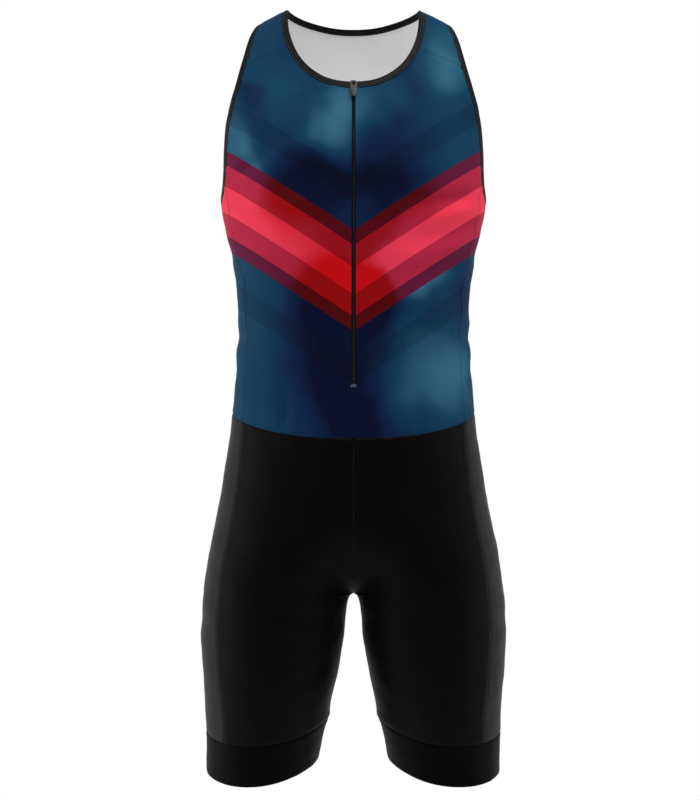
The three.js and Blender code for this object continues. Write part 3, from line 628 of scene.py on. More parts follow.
def cloth_piece(name, grids, materials, thickness=JERSEY, closed=False):
    """A panel of cloth with its thickness: the grids joined where their points meet, an inner face one
    thickness behind, and a rim along each open edge. Its UV map is the cloth's own length across and
    up, in metres."""
    points = np.concatenate([p.reshape(-1, 3) for p, _ in grids])
    normals = np.concatenate([n.reshape(-1, 3) for _, n in grids])
    places = np.concatenate([
        np.stack([lengths_along(p, 1), lengths_along(p, 0)], axis=-1).reshape(-1, 2) / 1000 for p, _ in grids
    ])
    firsts = np.cumsum([0] + [p.shape[0] * p.shape[1] for p, _ in grids])
    quads = []
    for (p, _), first in zip(grids, firsts):
        cells = grid_quads(*p.shape[:2], first, closed)
        a, b, c, d = points[cells.T]
        backwards = (np.cross(c - a, d - b) * normals[cells[:, 0]]).sum() < 0
        quads.append(cells[:, ::-1] if backwards else cells)
    quads = np.concatenate(quads)
    places_in_mesh = np.round(points * 500).astype(np.int64)
    _, kept, joined = np.unique(places_in_mesh, axis=0, return_index=True, return_inverse=True)
    joined = joined.ravel()
    outer_faces = joined[quads]
    count = len(kept)
    edges = np.stack([outer_faces, np.roll(outer_faces, -1, axis=1)], axis=-1).reshape(-1, 2)
    corners = np.stack([quads, np.roll(quads, -1, axis=1)], axis=-1).reshape(-1, 2)
    open_edge = ~np.isin(edges @ (count, 1), edges @ (1, count))
    rim_from, rim_to = edges[open_edge].T
    rim_faces = np.stack([rim_to, rim_from, rim_from + count, rim_to + count], axis=1)
    rim_corners = corners[open_edge][:, [1, 0, 0, 1]]
    faces = np.concatenate([outer_faces, outer_faces[:, ::-1] + count, rim_faces])
    uvs = places[np.concatenate([quads, quads[:, ::-1], rim_corners])]
    face_materials = np.zeros(len(faces), np.int32)
    if len(materials) > 1:
        face_materials[len(quads) : 2 * len(quads)] = 1
    outer = points[kept]
    whole = np.concatenate([outer, outer - normals[kept] * thickness])
    sharp = np.concatenate([edges[open_edge], edges[open_edge] + count])
    return new_piece(name, whole, faces.tolist(), materials, face_materials, uvs, sharp)


# Colours of the print, which clouds from navy in the middle of the body to teal at its sides. Across it
# runs a plain chevron of five bands, and above and below that a faint one in the ground's own colour. The
# navy middle is partly the print's own and partly painted shade, the teal sides and lighter clouds partly
# painted light, and the bands are painted darker in the middle's painted shade.
# The ramp runs from navy, partly painted shade, through teal to a pale teal at its top, which is painted
# light where the sides are lit.
PRINT_GROUND_AND_PAINTED_LIGHT = [
    # share of teal, colour
    (0.0, "#030a2a"),
    (0.3, "#072244"),
    (0.6, "#0c3d56"),
    (1.0, "#376a83"),
]
# Clouds partly of the print and partly painted light and shade: ovals below 0 are painted shade where folds
# and hollows would be dark, ovals above 0 painted light on lit swells and flanks.
PRINT_AND_PAINTED_SHADE_CLOUDS = [
    # x, z, half width and half height of an oval in mm, how much more teal in its middle
    (-142, -182, 24, 62, 0.42),
    (-18, -148, 40, 66, 0.70),
    (30, -128, 26, 40, 0.32),
    (-68, -88, 46, 36, 0.15),
    (103, -70, 44, 42, 0.35),
    (-122, -112, 32, 28, -0.25),
    (-55, -225, 62, 48, -0.50),
    (48, -228, 48, 30, -0.35),
    (100, -278, 46, 32, 0.30),
    (66, -326, 50, 44, 0.90),
    (22, -372, 32, 58, -0.42),
    (-32, -402, 42, 78, -0.50),
    (86, -450, 58, 62, 0.40),
    (-100, -455, 34, 48, -0.08),
    (0, -500, 48, 50, -0.50),
    (156, -430, 34, 150, -0.32),
]
CLOUD_REACH = 1.4  # where a cloud ends, as a share of its half width
CLOUD_DRIFT = 0.09  # how far a slow noise shifts the ovals' outlines, in metres
# Teal towards the sides: partly the print's own, partly painted light at the sides and painted shade in the
# middle.
SIDE_TEAL_PRINT_AND_PAINTED_LIGHT = {"middle": 0.22, "side": 0.52, "from": 0.01, "to": 0.135}  # shares, and metres outwards
MOTTLE = 0.4  # how much a noise changes the share of teal
# Painted shade on the bands: where the share of teal is low, in the middle's painted shade, the bands are
# multiplied darker by the colour below, and between these shares they reach full colour.
FULL_BANDS = (0.1, 0.6)  # shares of teal between which the bands come out of the middle's shade
PAINTED_SHADE_ON_BANDS = "#d8343c"  # what the middle's shade leaves of the bands' colours
CHEVRON_SLOPE = 0.66  # rise of the bands for each millimetre outwards
CHEVRON_FOOT = -0.462  # height of the lowest band's lower edge in the middle, in metres
CHEVRON_BANDS = [
    # width in mm, colour, how much of the ground it covers
    (30, "#05102a", 0.3),
    (34, "#05102a", 0.0),
    (17, "#5e1436", 1.0),
    (27, "#ad2340", 1.0),
    (31, "#e63a54", 1.0),
    (27, "#ad2340", 1.0),
    (17, "#5e1436", 1.0),
    (34, "#05102a", 0.0),
    (30, "#05102a", 0.3),
]
RAMP_MARGIN = 0.001  # clear share of the colour ramp at each end
MIX_A, MIX_B, MIX_RESULT = 6, 7, 2  # numbers of the Mix node's colour sockets
WALE_PITCH = 0.0026  # a real wale is 0.5 mm; drawn five times as wide, so that it shows
COURSE_PITCH = 0.0034  # height of a loop, drawn as coarsely


def waves(tree, place, pitch, direction, shape):
    """Bands with a pitch in metres. The period of a Wave texture is pi / 10 divided by its scale."""
    sockets = {"Vector": place, "Scale": math.pi / 10 / pitch, **shape}
    return add_node(tree, "TexWave", sockets, bands_direction=direction).outputs["Fac"]


def noise(tree, place, scale, detail, output="Fac"):
    """A noise, whose grain is about a metre divided by its scale."""
    return add_node(tree, "TexNoise", {"Vector": place, "Scale": scale, "Detail": detail}).outputs[output]


def bumped(tree, shader, height, strength, distance):
    """Gives the shader a bump of a height from 0 to 1, for which the distance is in metres."""
    bump = add_node(tree, "Bump", {"Strength": strength, "Distance": distance, "Height": height})
    tree.links.new(bump.outputs[0], shader.inputs["Normal"])


def shaded(tree, shader, colour, pattern, low, high, end=1.0):
    """Gives the shader a colour times low to high, as the pattern runs from 0 to its end."""
    base = linear(colour)[:3] if isinstance(colour, str) else colour
    share = ranged(tree, pattern, low, high, end=end)
    result = combined(tree, "MULTIPLY", base, share, kind="VectorMath")
    tree.links.new(result, shader.inputs["Base Color"])


def fabric(name, roughness, specular, sheen, sheen_tint, bump_strength):
    """A knitted material whose colour is still to come, and its loops. The knit's face is a bump: rows
    of loops as waves across and along the cloth's own UV map, broken up by a fine noise."""
    material, tree, shader = new_material(name, {
        "Roughness": roughness, "Specular IOR Level": specular, "IOR": 1.25,
        "Sheen Weight": sheen, "Sheen Roughness": 0.4, "Sheen Tint": linear(sheen_tint),
    })
    place = add_node(tree, "UVMap", uv_map="cloth").outputs[0]
    wales = waves(tree, place, WALE_PITCH, "X", {"Distortion": 1.2, "Detail": 1.0, "Detail Scale": 0.6})
    courses = waves(tree, place, COURSE_PITCH, "Y", {"Distortion": 1.6, "Detail": 1.0})
    loops = combined(tree, "MULTIPLY", wales, ranged(tree, courses, 0.45, 1.0))
    height = combined(tree, "ADD", loops, noise(tree, place, 520.0, 2.0))
    bumped(tree, shader, height, bump_strength, 0.0003)
    return material, tree, shader, loops


def colour_ramp(tree, share, stops, interpolation="LINEAR"):
    """Colour and alpha of a ramp, where stops pairs each place, from 0 up, with a colour and its alpha."""
    node = add_node(tree, "ValToRGB", {"Fac": share})
    node.color_ramp.interpolation = interpolation
    elements = node.color_ramp.elements
    elements.remove(elements[1])
    elements[0].color = stops[0][1]
    for place, colour in stops[1:]:
        elements.new(place).color = colour
    return node.outputs


def mixed(tree, share, first, second, blend_type="MIX"):
    """Two colours mixed, with a share of the second."""
    sockets = {0: share, MIX_A: first, MIX_B: second}
    return add_node(tree, "Mix", sockets, data_type="RGBA", blend_type=blend_type).outputs[MIX_RESULT]


def chevron(tree, height_along):
    """The bands of the print at a height along the chevron: a colour ramp with a hard edge at each band,
    whose alpha is how much the band covers."""
    total = sum(width for width, _, _ in CHEVRON_BANDS)
    share = ranged(tree, height_along, 0.0, 1.0, CHEVRON_FOOT, CHEVRON_FOOT + total / 1000)
    clear = (0, 0, 0, 0)
    stops = [(0, clear)]
    reached = RAMP_MARGIN
    for width, code, cover in CHEVRON_BANDS:
        stops.append((reached, (*linear(code)[:3], cover)))
        reached += (1 - 2 * RAMP_MARGIN) * width / total
    stops.append((reached, clear))
    return colour_ramp(tree, share, stops, "CONSTANT")


def printed_jersey():
    """Dye-sublimated warp knit: the dye sinks into bright nylon, so the colours are deep, with a faint
    sheen towards the edges, and the loops show as fine dots. Its colour is the print with painted shade
    in the middle of the body and painted light at its sides and in lighter clouds."""
    material, tree, shader, loops = fabric(
        "dye-printed nylon warp knit",
        roughness=0.72, specular=0.2, sheen=0.02, sheen_tint="#8fc0d4", bump_strength=0.3,
    )
    place = add_node(tree, "TexCoord").outputs["Object"]
    axes = add_node(tree, "SeparateXYZ", {"Vector": place}).outputs
    outwards = combined(tree, "ABSOLUTE", axes["X"])
    along = combined(tree, "MULTIPLY_ADD", outwards, -CHEVRON_SLOPE, axes["Z"])
    # Partly the print, partly painted light towards the sides and painted shade in the middle.
    print_and_painted_side_light = ranged(
        tree, outwards, SIDE_TEAL_PRINT_AND_PAINTED_LIGHT["middle"], SIDE_TEAL_PRINT_AND_PAINTED_LIGHT["side"], SIDE_TEAL_PRINT_AND_PAINTED_LIGHT["from"], SIDE_TEAL_PRINT_AND_PAINTED_LIGHT["to"],
        interpolation_type="SMOOTHSTEP",
    )
    share = combined(tree, "MULTIPLY_ADD", noise(tree, place, 11.0, 3.0), MOTTLE, print_and_painted_side_light)
    share = combined(tree, "ADD", share, -MOTTLE / 2)
    shift = (CLOUD_DRIFT,) * 3
    half_shift = (CLOUD_DRIFT / 2,) * 3
    drift = noise(tree, place, 9.0, 2.0, output="Color")
    drifted = combined(tree, "MULTIPLY_ADD", drift, shift, place, kind="VectorMath")
    centred = combined(tree, "SUBTRACT", drifted, half_shift, kind="VectorMath")
    # Each oval adds teal as painted light or takes it away as painted shade.
    for x, z, half_across, half_up, more in PRINT_AND_PAINTED_SHADE_CLOUDS:
        oval = add_node(
            tree, "Mapping",
            {"Vector": centred, "Location": (-x / half_across, 0, -z / half_up),
             "Scale": (1000 / half_across, 0, 1000 / half_up)},
        )
        reach = add_node(tree, "VectorMath", {0: oval.outputs[0]}, operation="LENGTH").outputs["Value"]
        cloud = ranged(tree, reach, more, 0.0, end=CLOUD_REACH, interpolation_type="SMOOTHSTEP")
        share = combined(tree, "ADD", share, cloud)
    # The ground: the print's colours with their painted shade and painted light.
    print_ground_and_painted_shade = colour_ramp(tree, share, [(stop, linear(code)) for stop, code in PRINT_GROUND_AND_PAINTED_LIGHT])["Color"]
    # Painted shade on the bands: lit is how far each band comes out of the middle's painted shade.
    lit = ranged(tree, share, 0.0, 1.0, *FULL_BANDS, interpolation_type="SMOOTHSTEP")
    band_colour, band_cover = chevron(tree, along)
    band_in_painted_shade = mixed(tree, 1.0, band_colour, linear(PAINTED_SHADE_ON_BANDS), "MULTIPLY")
    band = mixed(tree, lit, band_in_painted_shade, band_colour)
    # Between the loops the yarn lies in shade, so the print is a little darker there.
    shaded(tree, shader, mixed(tree, band_cover, print_ground_and_painted_shade, band), loops, 0.86, 1.06)
    return material


def inside_jersey():
    """The undyed inner face of the same knit: bright nylon, nearly white, flatter than the outer face."""
    material, tree, shader, loops = fabric(
        "undyed nylon knit, inner face",
        roughness=0.65, specular=0.3, sheen=0.1, sheen_tint="#ffffff", bump_strength=0.15,
    )
    # Painted shade: the colour is a little darker between the loops, where the yarn lies in shade.
    shaded(tree, shader, "#fafafa", loops, 0.96, 1.0)
    return material


PRINTED_JERSEY = printed_jersey()
INSIDE_JERSEY = inside_jersey()

TRUNK_ROWS = spaced(ARMHOLE_CORNER - waist_height(90.0))
zip_share = (ZIP_BOTTOM - waist_height(90.0)) / (ARMHOLE_CORNER - waist_height(90.0))
zip_row = np.abs(TRUNK_ROWS - zip_share).argmin()  # this row is moved to the zip's foot
TRUNK_ROWS[zip_row] = zip_share


def trunk_heights(first, last, across, top=ARMHOLE_CORNER):
    """Heights of the trunk's rows, from the waist seam up to the top edge, at angles from first to last."""
    return blend(waist_height(first + (last - first) * across), top, TRUNK_ROWS).T


front_across = spaced(165)
trunk_h = trunk_heights(90, WAIST_SEAM["front"], front_across)
zip_edge = 90 + sideways(zip_half_width(trunk_h), trunk_h)
trunk_angle = zip_edge + (front_seam_at(trunk_h) - zip_edge) * front_across
slit_top = SLIT["foot"] - SLIT["narrows"]
first_swing = math.degrees(math.asin((slit_top / NECK_HALF_WIDTH) ** (NECK_SQUARE["front"] / 2)))
swings = np.linspace(60, 90, EDGE_SAMPLES)
last_swing = swings[np.searchsorted(neck_edge(swings, "front")[1], SHOULDER_SEAM_TURN)]
neck_x, neck_turn = even_neck_edge("front", first_swing, last_swing)
chest_span = ARCH * math.radians(neck_turn[0] - corner_turn)
chest_turn = np.linspace(corner_turn, neck_turn[0], round(chest_span / STEP))[1:-1]
chest_x = zip_half_width(height_over_shoulder(chest_turn))
chest_angle, chest_h = chest_rows(chest_x, chest_turn, front_across)
neck_angle, neck_h = chest_rows(neck_x, neck_turn, front_across)
front_half = suit_surface(
    np.concatenate([trunk_angle, chest_angle, neck_angle]), np.concatenate([trunk_h, chest_h, neck_h])
)
first_neck_row = len(TRUNK_ROWS) + len(chest_turn)
below_zip = mirrored([part[: zip_row + 1, :1] for part in front_half])
middle_column = suit_surface(np.full((zip_row + 1, 1), 90.0), trunk_h[: zip_row + 1, :1])
bridge = [
    np.hstack([right, middle, left[: zip_row + 1, :1]])
    for right, middle, left in zip(below_zip, middle_column, front_half)
]
front_plain = front_half[0]
front_edges = both_sides([
    (seam_relief, front_plain[0]),
    (seam_relief, front_plain[: len(TRUNK_ROWS), -1]),
    (seam_relief, front_plain[-1]),
    (bound_relief, front_plain[first_neck_row:, 0]),
    (bound_relief, front_plain[len(TRUNK_ROWS) - 1 :, -1]),
    (zip_relief, front_plain[zip_row : first_neck_row + 1, 0]),
])
front_left = worn(front_half, front_edges)
front_right = worn(mirrored(front_half), front_edges)
front_panel = cloth_piece(
    "front_of_printed_jersey", [front_left, front_right, worn(bridge, front_edges)],
    [PRINTED_JERSEY, INSIDE_JERSEY],
)
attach(front_panel, "garment")
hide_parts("front_panel")


# Back panel: one piece of the same jersey, cut so that it runs over both shoulders and is sewn to the
# front with a flat seam across the front of each strap.
back_across = spaced(165)
back_trunk_h = trunk_heights(270, WAIST_SEAM["back"], back_across)
back_trunk_angle = 270 + (back_seam_at(back_trunk_h) - 270) * back_across
back_neck_x, back_neck_turn = even_neck_edge("back", 0, 90)
strap_x, strap_turn = [row[1:] for row in even_neck_edge("front", 90, last_swing)]
blade_span = ARCH * math.radians(back_neck_turn[0] - corner_turn)
blade_turn = 180 - np.linspace(corner_turn, back_neck_turn[0], round(blade_span / STEP))[1:-1]
rows_x = np.concatenate([np.zeros(len(blade_turn)), back_neck_x, strap_x])
rows_turn = np.concatenate([blade_turn, 180 - back_neck_turn, strap_turn])
upper_angle, upper_h = chest_rows(rows_x, rows_turn, back_across)
back_half = suit_surface(
    np.concatenate([back_trunk_angle, upper_angle]), np.concatenate([back_trunk_h, upper_h])
)
first_back_neck_row = len(TRUNK_ROWS) + len(blade_turn)
back_plain = back_half[0]
back_edges = both_sides([
    (seam_relief, back_plain[0]),
    (seam_relief, back_plain[: len(TRUNK_ROWS), -1]),
    (seam_relief, back_plain[-1]),
    (bound_relief, back_plain[first_back_neck_row:, 0]),
    (bound_relief, back_plain[len(TRUNK_ROWS) - 1 :, -1]),
])
back_left = worn(back_half, back_edges)
back_right = worn(mirrored(back_half), back_edges)
back_panel = cloth_piece(
    "back_of_printed_jersey", [back_left, back_right], [PRINTED_JERSEY, INSIDE_JERSEY]
)
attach(back_panel, "garment")
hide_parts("back_panel")


# Side panels: a strip of the same jersey up each side, from the waist seam to the armhole, whose bottom
# is a half oval between the strip's two top corners.
ARMHOLE_BOTTOM = -241.0
SIDE_COLUMNS = 36
across_oval = np.sin(np.linspace(-math.pi / 2, math.pi / 2, SIDE_COLUMNS + 1))
side_across = (across_oval + 1) / 2
armhole_rise = ARMHOLE_CORNER - ARMHOLE_BOTTOM
side_top = ARMHOLE_BOTTOM + armhole_rise * (1 - np.sqrt(np.maximum(0, 1 - across_oval**2)))
side_h = trunk_heights(WAIST_SEAM["front"], WAIST_SEAM["back"], side_across, side_top)
side_angle = front_seam_at(side_h) + (back_seam_at(side_h) - front_seam_at(side_h)) * side_across
side_strip = suit_surface(side_angle, side_h)
side_plain = side_strip[0]
side_edges = both_sides([
    (seam_relief, side_plain[0]),
    (seam_relief, side_plain[:, 0]),
    (seam_relief, side_plain[:, -1]),
    (bound_relief, side_plain[-1]),
])
side_worn = {
    "left": worn(side_strip, side_edges),
    "right": worn(mirrored(side_strip), side_edges),
}
for side, surface in side_worn.items():
    side_panel = cloth_piece(f"side_strip_{side}", [surface], [PRINTED_JERSEY, INSIDE_JERSEY])
    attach(side_panel, "garment")
    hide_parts(f"side_panel_{side}")


# Shorts: on each side a front, a side strip and a back of dense black jersey, joined on the centre
# seams, at the inside of the legs and on both sides of the strip, and sewn to the top at the waist.
SHORTS_PANELS = {
    # panel: angles of its two edges at the waist and at the leg band
    "front": ((90, WAIST_SEAM["front"]), (0, 129)),
    "side": ((WAIST_SEAM["front"], WAIST_SEAM["back"]), (129, 229)),
    "back": ((WAIST_SEAM["back"], 270), (229, 360)),
}
BAND_HEIGHT = 50.0
HEM = {"middle": -927.5, "inside_rise": 7.5, "both_dip": 10, "front_dip": 4.5}
HIP_ROWS = {"length": 200, "power": 2, "count": 110}
THIGH_ROWS = {"length": 165, "power": 1.6, "count": 66}


def hem_height(angle):
    """The leg's hem is highest inside the leg and lowest in front."""
    inwards, forwards = np.cos(np.radians(angle)), np.sin(np.radians(angle))
    return (
        HEM["middle"] + HEM["inside_rise"] * inwards - HEM["both_dip"] * forwards**2
        - HEM["front_dip"] * forwards
    )


def from_crotch(length, power, count):
    """Shares of the way from the crotch, closest there, and closer again at the seam at the far end."""
    fine = 1 - SEAM_ROWS[::-1] / length
    even = np.linspace(0, 1, count + 1) ** power
    return np.concatenate([even[even < fine[0] - 0.005], fine])


def shorts_panel(panel, across):
    """Angles and heights of a panel of the shorts: rows from the waist seam down to the crotch, closer
    towards it, and on down the leg to the band."""
    (waist_first, waist_last), (band_first, band_last) = SHORTS_PANELS[panel]
    waist = waist_height(waist_first + (waist_last - waist_first) * across)
    band = hem_height(band_first + (band_last - band_first) * across) + BAND_HEIGHT
    hip = blend(np.full(len(across), CROTCH), waist, from_crotch(**HIP_ROWS)[::-1]).T
    thigh = blend(np.full(len(across), CROTCH), band, from_crotch(**THIGH_ROWS)[1:]).T
    h = np.concatenate([hip, thigh])
    edge = {
        "front": (first_angle_at(h), front_seam_at(h)),
        "side": (front_seam_at(h), back_seam_at(h)),
        "back": (back_seam_at(h), 360 - first_angle_at(h)),
    }[panel]
    return edge[0] + (edge[1] - edge[0]) * across, h


def faint_seam_relief(points, line):
    """A seam that both halves of the shorts shape, so each gives only part of its relief."""
    return 0.4 * seam_relief(points, line)


def black_jersey(name, code, specular, sheen, bump_strength):
    """Dense black stretch knit: dyed through, nearly matt, with a soft grey sheen where it turns away."""
    material, tree, shader, loops = fabric(name, 0.55, specular, sheen, "#9a9da2", bump_strength)
    place = add_node(tree, "TexCoord").outputs["Object"]
    # A slow noise varies the tone at random, and the colour is painted darker between the loops as their
    # shade.
    uneven = combined(tree, "MULTIPLY_ADD", noise(tree, place, 14.0, 3.0), 0.5, loops)
    shaded(tree, shader, code, uneven, 0.75, 1.15)
    return material


BLACK_JERSEY = black_jersey(
    "dense black nylon jersey", "#030303", specular=0.14, sheen=0.1, bump_strength=0.3
)
# Painted light: the side panels are the same black jersey as the front and back, painted lighter where the
# side lights fall on them.
SIDE_JERSEY_PAINTED_LIGHTER = black_jersey(
    "black nylon jersey painted lighter for side light", "#171718", specular=0.25, sheen=0.08, bump_strength=0.3
)
SHORTS_ACROSS = {"front": spaced(180), "side": spaced(150), "back": spaced(190)}
CENTRE_COLUMN = {"front": 0, "side": None, "back": -1}
shorts_worn = {}
for panel, across in SHORTS_ACROSS.items():
    plain = suit_surface(*shorts_panel(panel, across), CENTRE_COLUMN[panel])
    seam_kinds = {
        "front": (faint_seam_relief, seam_relief),
        "side": (seam_relief, seam_relief),
        "back": (seam_relief, faint_seam_relief),
    }[panel]
    edges = both_sides([
        (seam_relief, plain[0][0]),
        (seam_relief, plain[0][-1]),
        (seam_kinds[0], plain[0][:, 0]),
        (seam_kinds[1], plain[0][:, -1]),
    ])
    for side, surface in (("left", plain), ("right", mirrored(plain))):
        shorts_worn[panel, side] = worn(surface, edges)
        # The side strips take the black jersey painted lighter for the side light.
        piece = cloth_piece(f"shorts_{panel}_of_black_jersey_{side}", [shorts_worn[panel, side]],
                            [SIDE_JERSEY_PAINTED_LIGHTER if panel == "side" else BLACK_JERSEY])
        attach(piece, "garment")
        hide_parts(f"shorts_{panel}_{side}")


# Leg bands: a firmer black jersey, doubled at the leg end and seamed to a closed ring that grips the
# thigh. Each is sewn to the shorts all round.
BAND_CLOTH = 1.4
BAND_COLUMNS = 150
band_angle = np.arange(BAND_COLUMNS) * 360 / BAND_COLUMNS
band_top = hem_height(band_angle) + BAND_HEIGHT
band_h = blend(band_top, band_top - BAND_HEIGHT, spaced(BAND_HEIGHT)).T
band_plain = suit_surface(np.broadcast_to(band_angle, band_h.shape), band_h)


def hem_relief(points, line):
    """The folded leg end: a soft round edge."""
    off, _ = nearest(points, line)
    return bells(off, (-0.35, 0, 0.9))


band_edges = both_sides([(seam_relief, band_plain[0][0]), (hem_relief, band_plain[0][-1])])
BAND_JERSEY = black_jersey(
    "firm black elastane jersey", "#020202", specular=0.1, sheen=0.05, bump_strength=0.4
)
band_worn = {"left": worn(band_plain, band_edges), "right": worn(mirrored(band_plain), band_edges)}
for side, surface in band_worn.items():
    piece = cloth_piece(f"leg_band_of_firm_jersey_{side}", [surface], [BAND_JERSEY], BAND_CLOTH, closed=True)
    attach(piece, "garment")
    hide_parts(f"leg_band_{side}")


# Neck binding: a black elastic tape folded over the cloth's edge, stretched as it is sewn down with a
# twin needle, so that it lies in fine puckers. It is cut at the zip, and its ends lie beside it.
TAPE_WIDTH = 8.4
TAPE_HEIGHT = 2.35
TAPE_OVERLAP = 0.9  # how far the tape reaches in over the cloth's edge
TAPE_POINTS = 44
TAPE_SQUARE = 3.2
TAPE_FLATTER = 0.12  # share by which its inner edge is flatter, and its outer one thicker
RIB_PITCH = 0.0013  # a real rib is 0.4 mm; drawn at half the stitch length, in metres
NEEDLE_LINES = (2.3, 5.0)  # from the tape's edge on the cloth
NEEDLE_GROOVE = 0.34
STITCH = {"pitch": 2.6, "length": 2.1, "radius": 0.27}
NEEDLE_WIDTH = 0.55
EVENING_PASSES = 14
DIRECTION_REACH = 2  # how far ahead and behind along an edge its direction is taken


def evened(values, closed):
    """A line of values, each replaced again and again by the mean of itself, twice, and its neighbours."""
    for _ in range(EVENING_PASSES):
        inner = (values[:-2] + 2 * values[1:-1] + values[2:]) / 4
        ends = (values[-2] + 2 * values[0] + values[1]) / 4 if closed else values[0]
        last = ends if closed else values[-1]
        values = np.vstack([ends[None], inner, last[None]])
    return values


def path_frame(path, normals, places, closed):
    """Points, directions along, cloth normals and directions aside at given lengths along an edge."""
    if closed:
        path, normals = np.vstack([path, path[:1]]), np.vstack([normals, normals[:1]])
    path, normals = evened(path, closed), evened(normals, closed)
    along = lengths_to(path)
    at = np.mod(places, along[-1]) if closed else np.clip(places, 0, along[-1])

    def read(values, where):
        return np.stack([np.interp(where, along, values[:, axis]) for axis in range(3)], axis=-1)

    behind, ahead = [
        np.mod(at + reach, along[-1]) if closed else np.clip(at + reach, 0, along[-1])
        for reach in (-DIRECTION_REACH, DIRECTION_REACH)
    ]
    forwards = unit(read(path, ahead) - read(path, behind))
    up = unit(read(normals, at))
    aside = unit(np.cross(up, forwards))
    return read(path, at), forwards, unit(np.cross(forwards, aside)), aside


def edge_length(path, closed):
    steps = np.diff(np.vstack([path, path[:1]]) if closed else path, axis=0)
    return np.linalg.norm(steps, axis=1).sum()


def tape_drift(places):
    """How far a hand-fed tape wanders in and out over the cloth's edge, as a sum of slow waves."""
    return 0.16 * np.sin(places / 21) + 0.10 * np.sin(places / 8.3 + 2)


def swept(name, rings, material, closed):
    """A solid strip through rings of points. Closed, its last ring joins its first; open, both ends are
    capped. Its UV map is the length round the first ring and the length along the strip, in metres."""
    count, points = rings.shape[:2]
    index = np.arange(count * points).reshape(count, points)
    column = np.append(np.arange(points), 0)
    row = np.append(np.arange(count), 0) if closed else np.arange(count)
    index = index[row][:, column]
    around, along = lengths_to(rings[0][column]), lengths_to(rings[row].mean(1))
    places = np.stack(np.meshgrid(around, along), axis=-1) / 1000

    def cells(grid):
        return np.stack([grid[:-1, :-1], grid[:-1, 1:], grid[1:, 1:], grid[1:, :-1]], axis=2)

    faces = cells(index).reshape(-1, 4)
    uvs = cells(places).reshape(-1, 4, 2)
    flat = rings.reshape(-1, 3)
    a, b, c, d = flat[faces[:points].T]
    backwards = (np.cross(c - a, d - b) * ((a + c) / 2 - rings[:2].mean((0, 1)))).sum() < 0
    caps = [] if closed else [index[0, :-1][::-1], index[-1, :-1]]
    if backwards:
        faces, uvs, caps = faces[:, ::-1], uvs[:, ::-1], [cap[::-1] for cap in caps]
    corner_uvs = np.vstack([uvs.reshape(-1, 2), np.zeros((len(caps) * points, 2))])
    return new_piece(
        name, flat, faces.tolist() + [cap.tolist() for cap in caps], [material], corner_uvs=corner_uvs
    )


def bound_edge(name, path, normals, material, closed):
    """A folded tape along an edge: a flat rounded section, a superellipse with two grooves where the
    needles pull it down, carried along the edge. It swells between the stitches and gathers slowly."""
    length = edge_length(path, closed)
    rings = round(length / (STITCH["pitch"] / 2))
    places = np.arange(rings) * length / rings if closed else np.linspace(0, length, rings)
    points, forwards, up, aside = path_frame(path, normals, places, closed)
    if not closed:
        aside[[0, -1], 0] = 0
        aside = unit(aside)
    inwards = np.sign((aside * (points.mean(0) - points)).sum())
    around = np.arange(TAPE_POINTS) * 2 * math.pi / TAPE_POINTS
    half = TAPE_WIDTH / 2
    across = half * squared_off(np.cos(around), TAPE_SQUARE)
    rise = TAPE_HEIGHT / 2 * squared_off(np.sin(around), TAPE_SQUARE)
    groove = bells(across + half, *[(1, line, NEEDLE_WIDTH) for line in NEEDLE_LINES])
    rise = rise * (1 - NEEDLE_GROOVE * groove) * (1 - TAPE_FLATTER * across / half)
    swell = 1 + 0.05 * np.cos(2 * math.pi * places / STITCH["pitch"])
    swell = swell + 0.05 * np.sin(places / 5.3) * np.sin(places / 12.7 + 1)
    out = (across + half - TAPE_OVERLAP)[None, :] + tape_drift(places)[:, None]
    lifted = rise[None, :] * swell[:, None] - JERSEY / 2
    grid = points[:, None] + inwards * aside[:, None] * out[..., None] + up[:, None] * lifted[..., None]
    return swept(name, grid, material, closed)


def stitch_rows(name, rows, material, length, radius):
    """Many like stitches in one mesh: each a short rod along its thread with tapered ends that dip into
    the cloth, placed by its middle and by its directions along, out of and across the cloth."""
    station = np.array([-0.5, -0.27, 0.27, 0.5]) * length
    size = np.array([0.5, 1.0, 1.0, 0.5]) * radius
    dip = np.array([-1.0, 0, 0, -1.0]) * radius
    sides = 5
    around = np.arange(sides) * 2 * math.pi / sides
    template = np.stack([
        np.repeat(station, sides),
        np.outer(size, np.cos(around)).ravel(),
        (np.outer(size, np.sin(around)) + dip[:, None]).ravel(),
    ], axis=-1)
    middle, along, up, aside = [np.concatenate(part) for part in zip(*rows)]
    points = middle[:, None] + along[:, None] * template[:, 0, None] + aside[:, None] * template[:, 1, None]
    points = (points + up[:, None] * template[:, 2, None]).reshape(-1, 3)
    rod = grid_quads(len(station), sides, 0, True)
    caps = [np.arange(sides)[::-1], (len(station) - 1) * sides + np.arange(sides)]
    firsts = np.arange(len(middle)) * len(template)
    faces = (rod[None] + firsts[:, None, None]).reshape(-1, 4).tolist()
    for cap in caps:
        faces += (cap[None] + firsts[:, None]).tolist()
    return new_piece(name, points, faces, [material])


def binding_stitches(path, normals, closed):
    """Both needle lines, on the outer and on the inner face of a bound edge."""
    length = edge_length(path, closed)
    count = int(length / STITCH["pitch"])
    places = (np.arange(count) + 0.5) * length / count
    points, forwards, up, aside = path_frame(path, normals, places, closed)
    inwards = np.sign((aside * (points.mean(0) - points)).sum())
    surface = TAPE_HEIGHT / 2 * (1 - NEEDLE_GROOVE)
    rows = []
    for line in NEEDLE_LINES:
        out = (line - TAPE_OVERLAP + tape_drift(places))[:, None] * inwards * aside
        for face in (1, -1):
            lifted = (face * (surface + 0.08) - JERSEY / 2) * up
            rows.append((points + out + lifted, forwards, face * up, face * aside))
    return rows


